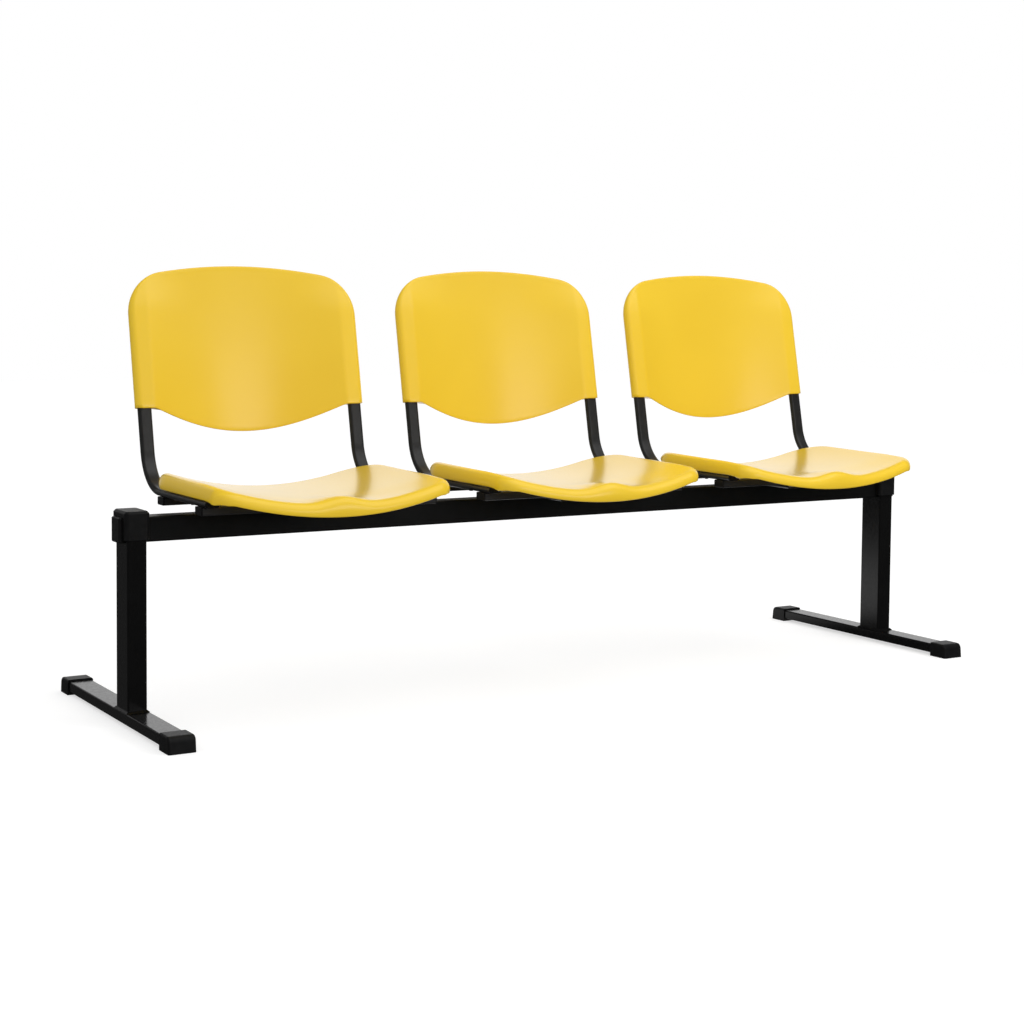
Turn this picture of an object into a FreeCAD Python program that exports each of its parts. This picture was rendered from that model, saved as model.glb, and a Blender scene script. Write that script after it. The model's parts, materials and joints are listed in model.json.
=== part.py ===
import FreeCAD
import Part
import Sketcher
import math
import os

# Three-seat beam bench: moulded plastic seat and back shells on flat-oval tube frames,
# carried by one rectangular steel beam on two T-shaped legs.
# X runs along the beam, -Y is the front of the seats, Z is up and the floor is Z = 0.
# The origin lies on the floor, midway between the ends of the feet and between the two legs.

V = FreeCAD.Vector
doc = FreeCAD.newDocument("BeamBench")
sheet = doc.addObject("Spreadsheet::Sheet", "Sizes")

# Driving sizes in millimetres, tilt in degrees
SIZES = [
    ("FitGap", 0.3),
    ("LegSpacing", 1750),
    ("SeatPitch", 565),
    ("SoleThick", 6),
    ("FootWidth", 45),
    ("FootHeight", 20),
    ("FootWall", 2),
    ("FootFront", 241),
    ("FootRear", 326),
    ("CapWall", 2.5),
    ("CapTop", 3.5),
    ("CapEnd", 8),
    ("CapGrip", 37),
    ("CapLean", 3),
    ("CapNose", 11),
    ("CapRound", 4),
    ("PostWidth", 36),
    ("PostDepth", 60),
    ("PostWall", 2),
    ("PostOver", 4.5),
    ("WeldLeg", 4),
    ("TubeCorner", 3),
    ("BeamUnder", 326.5),
    ("BeamDepth", 40),
    ("BeamTall", 45),
    ("BeamWall", 3),
    ("BeamOver", 25),
    ("PlugHead", 5),
    ("PlugGrip", 25),
    ("CoverWall", 4.7),
    ("CoverTop", 7),
    ("CoverLift", 6),
    ("CoverRound", 8),
    ("CoverBevel", 4),
    ("TubeWide", 27),
    ("TubeThick", 12),
    ("TubeWall", 1.5),
    ("TubeInset", 14),
    ("TubeFront", 150),
    ("TubeBend", 86),
    ("BackSet", 187),
    ("BackRise", 148),
    ("BackTilt", 11.6),
    ("SleeveDepth", 172),
    ("SleeveWall", 4.2),
    ("BarWide", 30),
    ("BarThick", 15),
    ("BarWall", 1.5),
    ("BarCorner", 2.5),
    ("BarInset", 3),
    ("BarFront", 119),
    ("BarRear", 66),
    ("EndCap", 3),
    ("EndGrip", 14),
    ("SaddleTall", 9.5),
    ("SaddleWide", 118),
    ("SaddleWall", 4),
    ("SaddleMargin", 12),
    ("BoltSize", 8),
    ("BoltLength", 22),
    ("BoltHead", 13),
    ("BoltHeadTall", 5.3),
    ("WasherSize", 17),
    ("WasherThick", 1.6),
    ("BoltSpread", 60),
    ("BoltRow", 18),
    ("ScrewSize", 5),
    ("ScrewHead", 9.5),
    ("ScrewHeadTall", 3),
    ("ScrewGrip", 12),
    ("ScrewFront", 60),
    ("ScrewRear", 20),
    ("BossSize", 12),
    ("SeatWidth", 464),
    ("SeatFront", 228),
    ("SeatCheek", 203),
    ("SeatRear", 140),
    ("SeatFrontCorner", 42),
    ("SeatRearCorner", 80),
    ("SeatWall", 4),
    ("SeatRim", 13),
    ("SeatNose", 16),
    ("NoseTuck", 3),
    ("NoseDrop", 3),
    ("SeatSink", 5.5),
    ("SkirtFlare", 2),
    ("SeatMiddle", 40),
    ("DishRear", 42),
    ("DishFront", 35),
    ("DishInset", 6.3),
    ("ThighDip", 3),
    ("Pommel", 14),
    ("PommelWide", 43),
    ("PommelFull", 22),
    ("PommelReach", 118),
    ("SkirtSide", 30),
    ("SkirtLift", 0.6),
    ("SkirtSoft", 2),
    ("SkirtRear", 11.5),
    ("LipDrop", 31),
    ("LipRise", 36),
    ("BackCrown", 279),
    ("BackShoulder", 246.5),
    ("BackCorner", 85),
    ("BackTongue", 43),
    ("BackFoot", 37),
    ("BackWall", 3.5),
    ("BackHollowLow", 38),
    ("BackHollowHigh", 12),
    ("BackCrease", 5.5),
    ("BackStep", 15),
    ("BackRoof", 12),
    ("BackEdge", 5.4),
    ("EdgeClear", 0.6),
]
for row, (name, value) in enumerate(SIZES, start=1):
    sheet.set("A%d" % row, name)
    sheet.set("B%d" % row, str(value))
    sheet.setAlias("B%d" % row, name)
doc.recompute()


def size(name):
    return float(sheet.get(name))


def cell(text):
    # A name in braces stands for a cell of the sheet
    return text.replace("{", "Sizes.").replace("}", "")


# The feet reach further to the rear than to the front of the legs, so the legs stand this far
# in front of the origin
AHEAD = "({FootRear} - {FootFront}) / 2"

# Heights that several pieces share, each built up from the floor
BEAM_TOP = "({BeamUnder} + {BeamTall})"
BAR_UNDER = "(" + BEAM_TOP + " + {SaddleTall})"
OFFSET = "({SeatWidth} / 2 - {TubeInset})"
BAR_LENGTH = "({SeatWidth} - 2 * {BarInset})"
BAR_TOP = "(" + BAR_UNDER + " + {BarThick})"
TUBE_MID = "(" + BAR_TOP + " + {TubeThick} / 2)"
TILT = "({BackTilt} * 1 deg)"
TANGENT = "({TubeBend} * tan((90 deg - " + TILT + ") / 2))"
RUN = "({TubeFront} + {BackSet} - {BackRise} * tan(" + TILT + ") - " + TANGENT + ")"
UPRIGHT = "({BackRise} / cos(" + TILT + ") - " + TANGENT + " + {SleeveDepth})"

ahead = (size("FootRear") - size("FootFront")) / 2
beam_top = size("BeamUnder") + size("BeamTall")
bar_under = beam_top + size("SaddleTall")
bar_top = bar_under + size("BarThick")
tube_mid = bar_top + size("TubeThick") / 2
tube_top = bar_top + size("TubeThick")
tube_offset = size("SeatWidth") / 2 - size("TubeInset")
bar_length = size("SeatWidth") - 2 * size("BarInset")

pieces = []


def new_body(label):
    body = doc.addObject("PartDesign::Body", "Body_" + label)
    body.Label = label
    pieces.append(body)
    return body


# A piece with a shape of its own, at a place given from the middle between the legs
def keep(label, shape, spot, rotation=FreeCAD.Rotation()):
    item = doc.addObject("Part::Feature", "Item_" + label)
    item.Label = label
    item.Shape = shape
    item.Placement = FreeCAD.Placement(spot - V(0, ahead, 0), rotation)
    pieces.append(item)
    return item


def move(body, x="0", y="0", z="0"):
    body.setExpression("Placement.Base.x", cell(x))
    body.setExpression("Placement.Base.y", cell(y + " - " + AHEAD))
    body.setExpression("Placement.Base.z", cell(z))


def turn(body, axis, angle):
    body.Placement = FreeCAD.Placement(body.Placement.Base, FreeCAD.Rotation(axis, angle))


def plane(body, role):
    return [item for item in body.Origin.OriginFeatures if item.Role == role][0]


def sketch_on(body, name, role, lift="0"):
    sketch = body.newObject("Sketcher::SketchObject", name)
    sketch.AttachmentSupport = [(plane(body, role), "")]
    sketch.MapMode = "FlatFace"
    if lift != "0":
        sketch.setExpression("AttachmentOffset.Base.z", cell(lift))
    return sketch


def bind(sketch, constraint, name, text):
    index = sketch.addConstraint(constraint)
    sketch.renameConstraint(index, name)
    sketch.setExpression("Constraints." + name, cell(text))


def add_box(sketch, tag, wide, tall, wide_text, tall_text):
    # A rectangle centred on the sketch's origin
    first = sketch.GeometryCount
    x = wide / 2
    y = tall / 2
    corners = [V(-x, -y, 0), V(x, -y, 0), V(x, y, 0), V(-x, y, 0)]
    for i in range(4):
        sketch.addGeometry(Part.LineSegment(corners[i], corners[(i + 1) % 4]), False)
    for i in range(4):
        sketch.addConstraint(Sketcher.Constraint("Coincident", first + i, 2, first + (i + 1) % 4, 1))
    for i in (0, 2):
        sketch.addConstraint(Sketcher.Constraint("Horizontal", first + i))
        sketch.addConstraint(Sketcher.Constraint("Vertical", first + i + 1))
    sketch.addConstraint(Sketcher.Constraint("Symmetric", first, 1, first + 1, 2, -1, 1))
    bind(sketch, Sketcher.Constraint("DistanceX", first, 1, first, 2, wide), tag + "Wide", wide_text)
    bind(sketch, Sketcher.Constraint("DistanceY", first + 1, 1, first + 1, 2, tall), tag + "Tall", tall_text)


def add_oval(sketch, tag, wide, tall, wide_text, tall_text):
    # A flat oval, two half circles joined by straights, centred on the sketch's origin
    first = sketch.GeometryCount
    r = tall / 2
    c = wide / 2 - r
    right = Part.ArcOfCircle(Part.Circle(V(c, 0, 0), V(0, 0, 1), r), -math.pi / 2, math.pi / 2)
    left = Part.ArcOfCircle(Part.Circle(V(-c, 0, 0), V(0, 0, 1), r), math.pi / 2, 3 * math.pi / 2)
    sketch.addGeometry(right, False)
    sketch.addGeometry(Part.LineSegment(V(c, r, 0), V(-c, r, 0)), False)
    sketch.addGeometry(left, False)
    sketch.addGeometry(Part.LineSegment(V(-c, -r, 0), V(c, -r, 0)), False)
    for i in range(4):
        sketch.addConstraint(Sketcher.Constraint("Tangent", first + i, 2, first + (i + 1) % 4, 1))
    sketch.addConstraint(Sketcher.Constraint("Equal", first, first + 2))
    sketch.addConstraint(Sketcher.Constraint("Symmetric", first, 3, first + 2, 3, -1, 1))
    sketch.addConstraint(Sketcher.Constraint("PointOnObject", first, 3, -1))
    bind(sketch, Sketcher.Constraint("Radius", first, r), tag + "Round", "(" + tall_text + ") / 2")
    span = "(" + wide_text + ") - (" + tall_text + ")"
    bind(sketch, Sketcher.Constraint("DistanceX", first + 2, 3, first, 3, 2 * c), tag + "Span", span)


def add_circle(sketch, tag, x, y, radius, x_text, y_text, radius_text):
    first = sketch.GeometryCount
    sketch.addGeometry(Part.Circle(V(x, y, 0), V(0, 0, 1), radius), False)
    bind(sketch, Sketcher.Constraint("Radius", first, radius), tag + "Bore", radius_text)
    bind(sketch, Sketcher.Constraint("DistanceX", -1, 1, first, 3, x), tag + "AtX", x_text)
    bind(sketch, Sketcher.Constraint("DistanceY", -1, 1, first, 3, y), tag + "AtY", y_text)


def add_outline(sketch, tag, points):
    # A closed outline of straight edges, each corner placed by its own two texts
    first = sketch.GeometryCount
    count = len(points)
    for i in range(count):
        a = points[i]
        b = points[(i + 1) % count]
        sketch.addGeometry(Part.LineSegment(V(a[0], a[1], 0), V(b[0], b[1], 0)), False)
    for i in range(count):
        sketch.addConstraint(Sketcher.Constraint("Coincident", first + i, 2, first + (i + 1) % count, 1))
    for i in range(count):
        x, y, x_text, y_text = points[i]
        bind(sketch, Sketcher.Constraint("DistanceX", -1, 1, first + i, 1, x), "%sX%d" % (tag, i), x_text)
        bind(sketch, Sketcher.Constraint("DistanceY", -1, 1, first + i, 1, y), "%sY%d" % (tag, i), y_text)


def pad(body, name, sketch, length, middle=False, reverse=False, taper=None):
    feature = body.newObject("PartDesign::Pad", name)
    feature.Profile = sketch
    feature.setExpression("Length", cell(length))
    feature.Midplane = middle
    feature.Reversed = reverse
    if taper is not None:
        feature.TaperAngle = taper
    doc.recompute()
    return feature


def pocket(body, name, sketch, length=None, middle=False, reverse=False):
    before = body.Shape.Volume
    feature = body.newObject("PartDesign::Pocket", name)
    feature.Profile = sketch
    if length is None:
        feature.Type = "ThroughAll"
    else:
        feature.setExpression("Length", cell(length))
    feature.Midplane = middle
    feature.Reversed = reverse
    doc.recompute()
    if body.Shape.Volume > before - 0.01:
        raise RuntimeError("nothing was cut by " + name + " in " + body.Label)
    return feature


def edges_where(shape, test):
    return ["Edge%d" % (i + 1) for i, edge in enumerate(shape.Edges) if test(edge)]


def along(edge, axis):
    if edge.Curve.TypeId != "Part::GeomLine":
        return False
    return abs(abs(edge.tangentAt(edge.FirstParameter).dot(axis)) - 1) < 1e-6


def fillet(body, name, base, names, radius):
    feature = body.newObject("PartDesign::Fillet", name)
    feature.Base = (base, names)
    feature.setExpression("Radius", cell(radius))
    doc.recompute()
    return feature


def chamfer(body, name, base, names, width):
    feature = body.newObject("PartDesign::Chamfer", name)
    feature.Base = (base, names)
    feature.setExpression("Size", cell(width))
    doc.recompute()
    return feature


# Foot bars: rectangular tubes on the floor side of each leg, running front to back
def foot_bar(label, side):
    body = new_body(label)
    ring = sketch_on(body, label + "_ring", "XZ_Plane")
    add_box(ring, "Out", size("FootWidth"), size("FootHeight"), "{FootWidth}", "{FootHeight}")
    bar = pad(body, label + "_bar", ring, "{FootFront} + {FootRear}", reverse=True)
    long_edges = edges_where(bar.Shape, lambda edge: along(edge, V(0, 1, 0)))
    fillet(body, label + "_corners", bar, long_edges, "{TubeCorner}")
    hollow = sketch_on(body, label + "_hollow", "XZ_Plane")
    wide = size("FootWidth") - 2 * size("FootWall")
    tall = size("FootHeight") - 2 * size("FootWall")
    add_box(hollow, "In", wide, tall, "{FootWidth} - 2 * {FootWall}", "{FootHeight} - 2 * {FootWall}")
    pocket(body, label + "_bore", hollow, "{FootFront} + {FootRear}")
    move(body, "%d * {LegSpacing} / 2" % side, "-{FootFront}", "{SoleThick} + {FootHeight} / 2")


# Foot caps: moulded ends that slip over the bars and carry the bench on their flat soles
def foot_cap(label, side, end):
    body = new_body(label)
    flank = sketch_on(body, label + "_flank", "YZ_Plane")
    long = size("CapGrip") + size("CapEnd")
    tall = size("SoleThick") + size("FootHeight") + size("CapTop")
    tall_text = "{SoleThick} + {FootHeight} + {CapTop}"
    add_outline(flank, "Side", [
        (-long, 0, "-({CapGrip} + {CapEnd})", "0"),
        (0, 0, "0", "0"),
        (0, tall, "0", tall_text),
        (-long + size("CapLean"), tall, "{CapLean} - {CapGrip} - {CapEnd}", tall_text),
    ])
    block = pad(body, label + "_block", flank, "{FootWidth} + 2 * {CapWall}", middle=True)

    def brow(edge):
        return along(edge, V(1, 0, 0)) and edge.CenterOfMass.y < -1 and edge.CenterOfMass.z > 1

    nose = fillet(body, label + "_nose", block, edges_where(block.Shape, brow), "{CapNose}")

    def rim(edge):
        middle = edge.CenterOfMass
        in_flank = abs(edge.tangentAt(edge.FirstParameter).x) < 1e-6
        front = middle.y < -size("CapGrip")
        return in_flank and (front and middle.z > 1 or middle.z > tall - 1)

    fillet(body, label + "_round", nose, edges_where(nose.Shape, rim), "{CapRound}")
    mouth = sketch_on(body, label + "_mouth", "XZ_Plane")
    gap = size("FitGap")
    low = size("SoleThick")
    high = size("SoleThick") + size("FootHeight") + gap
    half = size("FootWidth") / 2 + gap
    high_text = "{SoleThick} + {FootHeight} + {FitGap}"
    add_outline(mouth, "Bar", [
        (-half, low, "-{FootWidth} / 2 - {FitGap}", "{SoleThick}"),
        (half, low, "{FootWidth} / 2 + {FitGap}", "{SoleThick}"),
        (half, high, "{FootWidth} / 2 + {FitGap}", high_text),
        (-half, high, "-{FootWidth} / 2 - {FitGap}", high_text),
    ])
    pocket(body, label + "_socket", mouth, "{CapGrip}", reverse=True)
    if end > 0:
        turn(body, V(0, 0, 1), 180)
        move(body, "%d * {LegSpacing} / 2" % side, "{FootRear} - {CapGrip}", "0")
    else:
        move(body, "%d * {LegSpacing} / 2" % side, "{CapGrip} - {FootFront}", "0")


# Leg posts: upright tubes whose narrow walls are notched so that the beam lies in the head
def leg_post(label, side):
    body = new_body(label)
    ring = sketch_on(body, label + "_ring", "XY_Plane")
    add_box(ring, "Out", size("PostWidth"), size("PostDepth"), "{PostWidth}", "{PostDepth}")
    top_text = "{BeamUnder} + {BeamTall} + {PostOver} - {SoleThick} - {FootHeight}"
    tube = pad(body, label + "_tube", ring, top_text)
    long_edges = edges_where(tube.Shape, lambda edge: along(edge, V(0, 0, 1)))
    fillet(body, label + "_corners", tube, long_edges, "{TubeCorner}")
    hollow = sketch_on(body, label + "_hollow", "XY_Plane")
    wide = size("PostWidth") - 2 * size("PostWall")
    deep = size("PostDepth") - 2 * size("PostWall")
    add_box(hollow, "In", wide, deep, "{PostWidth} - 2 * {PostWall}", "{PostDepth} - 2 * {PostWall}")
    pocket(body, label + "_bore", hollow, top_text, reverse=True)
    notch = sketch_on(body, label + "_notch", "YZ_Plane")
    half = size("BeamDepth") / 2 + size("FitGap")
    low = size("BeamUnder") - size("SoleThick") - size("FootHeight")
    high = low + size("BeamTall") + size("PostOver")
    half_text = "{BeamDepth} / 2 + {FitGap}"
    low_text = "{BeamUnder} - {SoleThick} - {FootHeight}"
    add_outline(notch, "Seat", [
        (-half, low, "-(" + half_text + ")", low_text),
        (half, low, half_text, low_text),
        (half, high, half_text, top_text),
        (-half, high, "-(" + half_text + ")", top_text),
    ])
    pocket(body, label + "_seat", notch, "{PostWidth} + 2", middle=True)
    move(body, "%d * {LegSpacing} / 2" % side, "0", "{SoleThick} + {FootHeight}")


# Weld beads: sloped rings between each post and the top of its foot bar
def leg_weld(label, side):
    body = new_body(label)
    skirt = sketch_on(body, label + "_skirt", "XY_Plane")
    wide_text = "{PostWidth} + 2 * {WeldLeg}"
    deep_text = "{PostDepth} + 2 * {WeldLeg}"
    wide = size("PostWidth") + 2 * size("WeldLeg")
    deep = size("PostDepth") + 2 * size("WeldLeg")
    add_box(skirt, "Out", wide, deep, wide_text, deep_text)
    bead = pad(body, label + "_bead", skirt, "{WeldLeg} * 0.9", taper=-45)
    core = sketch_on(body, label + "_core", "XY_Plane")
    add_box(core, "In", size("PostWidth"), size("PostDepth"), "{PostWidth}", "{PostDepth}")
    pocket(body, label + "_bore", core, "{WeldLeg}", reverse=True)
    move(body, "%d * {LegSpacing} / 2" % side, "0", "{SoleThick} + {FootHeight}")


# Beam: one rectangular tube with a group of tapped holes under each seat
def beam(label):
    body = new_body(label)
    ring = sketch_on(body, label + "_ring", "YZ_Plane")
    add_box(ring, "Out", size("BeamDepth"), size("BeamTall"), "{BeamDepth}", "{BeamTall}")
    length = "{LegSpacing} + 2 * {BeamOver}"
    tube = pad(body, label + "_tube", ring, length, middle=True)
    long_edges = edges_where(tube.Shape, lambda edge: along(edge, V(1, 0, 0)))
    fillet(body, label + "_corners", tube, long_edges, "{TubeCorner}")
    hollow = sketch_on(body, label + "_hollow", "YZ_Plane")
    deep = size("BeamDepth") - 2 * size("BeamWall")
    tall = size("BeamTall") - 2 * size("BeamWall")
    add_box(hollow, "In", deep, tall, "{BeamDepth} - 2 * {BeamWall}", "{BeamTall} - 2 * {BeamWall}")
    pocket(body, label + "_bore", hollow, length, middle=True)
    taps = sketch_on(body, label + "_taps", "XY_Plane", "{BeamTall} / 2")
    x = size("BoltSpread") / 2
    y = size("BoltRow") / 2
    bore = size("BoltSize") / 2 + size("FitGap")
    for i, (a, b) in enumerate(((-1, -1), (1, -1), (1, 1), (-1, 1))):
        x_text = "%d * {BoltSpread} / 2 - {SeatPitch}" % a
        y_text = "%d * {BoltRow} / 2" % b
        left = a * x - size("SeatPitch")
        add_circle(taps, "Tap%d" % i, left, b * y, bore, x_text, y_text, "{BoltSize} / 2 + {FitGap}")
    holes = pocket(body, label + "_holes", taps, "{BeamWall} + 1")
    row = body.newObject("PartDesign::LinearPattern", label + "_row")
    row.Originals = [holes]
    row.Direction = (taps, ["H_Axis"])
    row.setExpression("Length", cell("2 * {SeatPitch}"))
    row.Occurrences = 3
    body.Tip = row
    doc.recompute()
    move(body, "0", "0", "{BeamUnder} + {BeamTall} / 2")


# Beam plugs: moulded heads that close the ends of the beam, each with a hollow spigot inside it
def beam_plug(label, side):
    body = new_body(label)
    face = sketch_on(body, label + "_face", "YZ_Plane")
    add_box(face, "Out", size("BeamDepth"), size("BeamTall"), "{BeamDepth}", "{BeamTall}")
    head = pad(body, label + "_head", face, "{PlugHead}")
    outer = edges_where(head.Shape, lambda edge: edge.CenterOfMass.x > 1)
    fillet(body, label + "_round", head, outer, "{TubeCorner}")
    spigot = sketch_on(body, label + "_spigot", "YZ_Plane")
    deep = size("BeamDepth") - 2 * size("BeamWall") - 2 * size("FitGap")
    tall = size("BeamTall") - 2 * size("BeamWall") - 2 * size("FitGap")
    deep_text = "{BeamDepth} - 2 * {BeamWall} - 2 * {FitGap}"
    tall_text = "{BeamTall} - 2 * {BeamWall} - 2 * {FitGap}"
    add_box(spigot, "Out", deep, tall, deep_text, tall_text)
    wall = "2 * {BeamWall}"
    thin = 2 * size("BeamWall")
    add_box(spigot, "In", deep - thin, tall - thin, deep_text + " - " + wall, tall_text + " - " + wall)
    pad(body, label + "_grip", spigot, "{PlugGrip}", reverse=True)
    if side < 0:
        turn(body, V(0, 0, 1), 180)
    reach = "%d * ({LegSpacing} / 2 + {BeamOver})" % side
    move(body, reach, "0", "{BeamUnder} + {BeamTall} / 2")


# Leg covers: bevelled moulded hoods over the post heads, slotted for the beam
def leg_cover(label, side):
    body = new_body(label)
    wide_text = "{PostWidth} + 2 * {FitGap} + 2 * {CoverWall}"
    deep_text = "{PostDepth} + 2 * {FitGap} + 2 * {CoverWall}"
    wide = size("PostWidth") + 2 * size("FitGap") + 2 * size("CoverWall")
    deep = size("PostDepth") + 2 * size("FitGap") + 2 * size("CoverWall")
    tall = size("BeamTall") + size("PostOver") + size("CoverTop") - size("CoverLift")
    tall_text = "{BeamTall} + {PostOver} + {CoverTop} - {CoverLift}"
    plan = sketch_on(body, label + "_plan", "XY_Plane")
    add_box(plan, "Out", wide, deep, wide_text, deep_text)
    block = pad(body, label + "_block", plan, tall_text)
    upright = edges_where(block.Shape, lambda edge: along(edge, V(0, 0, 1)))
    corners = fillet(body, label + "_corners", block, upright, "{CoverRound}")
    rim = edges_where(corners.Shape, lambda edge: edge.CenterOfMass.z > tall - 0.01)
    chamfer(body, label + "_bevel", corners, rim[:1], "{CoverBevel}")
    inside = sketch_on(body, label + "_inside", "XY_Plane")
    gap = 2 * size("FitGap")
    wide_in = size("PostWidth") + gap
    deep_in = size("PostDepth") + gap
    add_box(inside, "In", wide_in, deep_in, "{PostWidth} + 2 * {FitGap}", "{PostDepth} + 2 * {FitGap}")
    pocket(body, label + "_socket", inside, "{BeamTall} + {PostOver} - {CoverLift}", reverse=True)
    slot = sketch_on(body, label + "_slot", "YZ_Plane")
    half = size("BeamDepth") / 2 + size("FitGap")
    high = size("BeamTall") + size("FitGap") - size("CoverLift")
    half_text = "{BeamDepth} / 2 + {FitGap}"
    high_text = "{BeamTall} + {FitGap} - {CoverLift}"
    add_outline(slot, "Beam", [
        (-half, 0, "-(" + half_text + ")", "0"),
        (half, 0, half_text, "0"),
        (half, high, half_text, high_text),
        (-half, high, "-(" + half_text + ")", high_text),
    ])
    pocket(body, label + "_window", slot, wide_text + " + 2", middle=True)
    move(body, "%d * {LegSpacing} / 2" % side, "0", "{BeamUnder} + {CoverLift}")


# Saddles: shallow steel channels bolted on top of the beam, whose flanges carry the crossbars
def saddle(label, seat):
    body = new_body(label)
    section = sketch_on(body, label + "_section", "XZ_Plane")
    a = size("SaddleWide") / 2
    b = a - size("SaddleWall")
    high = size("SaddleTall")
    web = size("SaddleWall")
    a_text = "{SaddleWide} / 2"
    b_text = "{SaddleWide} / 2 - {SaddleWall}"
    add_outline(section, "U", [
        (-a, 0, "-" + a_text, "0"),
        (a, 0, a_text, "0"),
        (a, high, a_text, "{SaddleTall}"),
        (b, high, b_text, "{SaddleTall}"),
        (b, web, b_text, "{SaddleWall}"),
        (-b, web, "-(" + b_text + ")", "{SaddleWall}"),
        (-b, high, "-(" + b_text + ")", "{SaddleTall}"),
        (-a, high, "-" + a_text, "{SaddleTall}"),
    ])
    long_text = "{BarFront} + {BarRear} + 2 * {SaddleMargin}"
    channel = pad(body, label + "_channel", section, long_text, reverse=True)

    def outer_bend(edge):
        return along(edge, V(0, 1, 0)) and edge.CenterOfMass.z < 0.01

    bends = edges_where(channel.Shape, outer_bend)
    fillet(body, label + "_bends", channel, bends, "{SaddleWall} * 0.8")
    holes = sketch_on(body, label + "_holes", "XY_Plane")
    x = size("BoltSpread") / 2
    y = size("BoltRow") / 2
    reach = size("BarFront") + size("SaddleMargin")
    bore = size("BoltSize") / 2 + size("FitGap")
    for i, (p, q) in enumerate(((-1, -1), (1, -1), (1, 1), (-1, 1))):
        x_text = "%d * {BoltSpread} / 2" % p
        y_text = "%d * {BoltRow} / 2 + {BarFront} + {SaddleMargin}" % q
        bore_text = "{BoltSize} / 2 + {FitGap}"
        add_circle(holes, "Bolt%d" % i, p * x, q * y + reach, bore, x_text, y_text, bore_text)
    pocket(body, label + "_bores", holes, "{SaddleWall} + 1", reverse=True)
    move(body, "%d * {SeatPitch}" % seat, "-{BarFront} - {SaddleMargin}", BEAM_TOP)


# Crossbars: rectangular tubes across each seat frame, lying on the saddle's flanges
def crossbar(label, seat, at_text):
    body = new_body(label)
    ring = sketch_on(body, label + "_ring", "YZ_Plane")
    add_box(ring, "Out", size("BarWide"), size("BarThick"), "{BarWide}", "{BarThick}")
    bar = pad(body, label + "_bar", ring, BAR_LENGTH, middle=True)
    long_edges = edges_where(bar.Shape, lambda edge: along(edge, V(1, 0, 0)))
    fillet(body, label + "_corners", bar, long_edges, "{BarCorner}")
    hollow = sketch_on(body, label + "_hollow", "YZ_Plane")
    wide = size("BarWide") - 2 * size("BarWall")
    thick = size("BarThick") - 2 * size("BarWall")
    add_box(hollow, "In", wide, thick, "{BarWide} - 2 * {BarWall}", "{BarThick} - 2 * {BarWall}")
    pocket(body, label + "_bore", hollow, BAR_LENGTH, middle=True)
    move(body, "%d * {SeatPitch}" % seat, at_text, BAR_UNDER + " + {BarThick} / 2")


# Side tubes: one flat-oval tube per side runs under the seat, bends up and leans back
def side_tube(label, seat, side):
    body = new_body(label)
    path = sketch_on(body, label + "_path", "YZ_Plane")
    tilt = math.radians(size("BackTilt"))
    bend = size("TubeBend")
    tangent = bend * math.tan((math.pi / 2 - tilt) / 2)
    run = size("TubeFront") + size("BackSet") - size("BackRise") * math.tan(tilt) - tangent
    rise = size("BackRise") / math.cos(tilt) - tangent + size("SleeveDepth")
    knee = V(run + bend * math.cos(tilt), bend - bend * math.sin(tilt), 0)
    tip = knee + V(rise * math.sin(tilt), rise * math.cos(tilt), 0)
    path.addGeometry(Part.LineSegment(V(0, 0, 0), V(run, 0, 0)), False)
    turn_circle = Part.Circle(V(run, bend, 0), V(0, 0, 1), bend)
    path.addGeometry(Part.ArcOfCircle(turn_circle, -math.pi / 2, -tilt), False)
    path.addGeometry(Part.LineSegment(knee, tip), False)
    path.addConstraint(Sketcher.Constraint("Coincident", 0, 1, -1, 1))
    path.addConstraint(Sketcher.Constraint("Horizontal", 0))
    path.addConstraint(Sketcher.Constraint("Tangent", 0, 2, 1, 1))
    path.addConstraint(Sketcher.Constraint("Tangent", 1, 2, 2, 1))
    bind(path, Sketcher.Constraint("DistanceX", 0, 1, 0, 2, run), "Run", RUN)
    bind(path, Sketcher.Constraint("Radius", 1, bend), "Bend", "{TubeBend}")
    bind(path, Sketcher.Constraint("Distance", 2, 1, 2, 2, rise), "Upright", UPRIGHT)
    lean = "cos(" + TILT + ") * " + UPRIGHT
    bind(path, Sketcher.Constraint("DistanceY", 2, 1, 2, 2, rise * math.cos(tilt)), "Lean", lean)
    ring = sketch_on(body, label + "_ring", "XZ_Plane")
    wall = 2 * size("TubeWall")
    add_oval(ring, "Out", size("TubeWide"), size("TubeThick"), "{TubeWide}", "{TubeThick}")
    wide_text = "{TubeWide} - 2 * {TubeWall}"
    thick_text = "{TubeThick} - 2 * {TubeWall}"
    add_oval(ring, "In", size("TubeWide") - wall, size("TubeThick") - wall, wide_text, thick_text)
    doc.recompute()
    pipe = body.newObject("PartDesign::AdditivePipe", label + "_tube")
    pipe.Profile = ring
    pipe.Spine = (path, [])
    pipe.Mode = "Standard"
    doc.recompute()
    holes = sketch_on(body, label + "_holes", "XY_Plane")
    bore = size("ScrewSize") / 2 + size("FitGap")
    front = size("TubeFront") - size("ScrewFront")
    rear = size("TubeFront") + size("ScrewRear")
    bore_text = "{ScrewSize} / 2 + {FitGap}"
    add_circle(holes, "Front", 0, front, bore, "0", "{TubeFront} - {ScrewFront}", bore_text)
    add_circle(holes, "Rear", 0, rear, bore, "0", "{TubeFront} + {ScrewRear}", bore_text)
    pocket(body, label + "_bores", holes, "{TubeThick} + 2", middle=True)
    move(body, ("%d * {SeatPitch} + %d * " % (seat, side)) + OFFSET, "-{TubeFront}", TUBE_MID)


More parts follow.
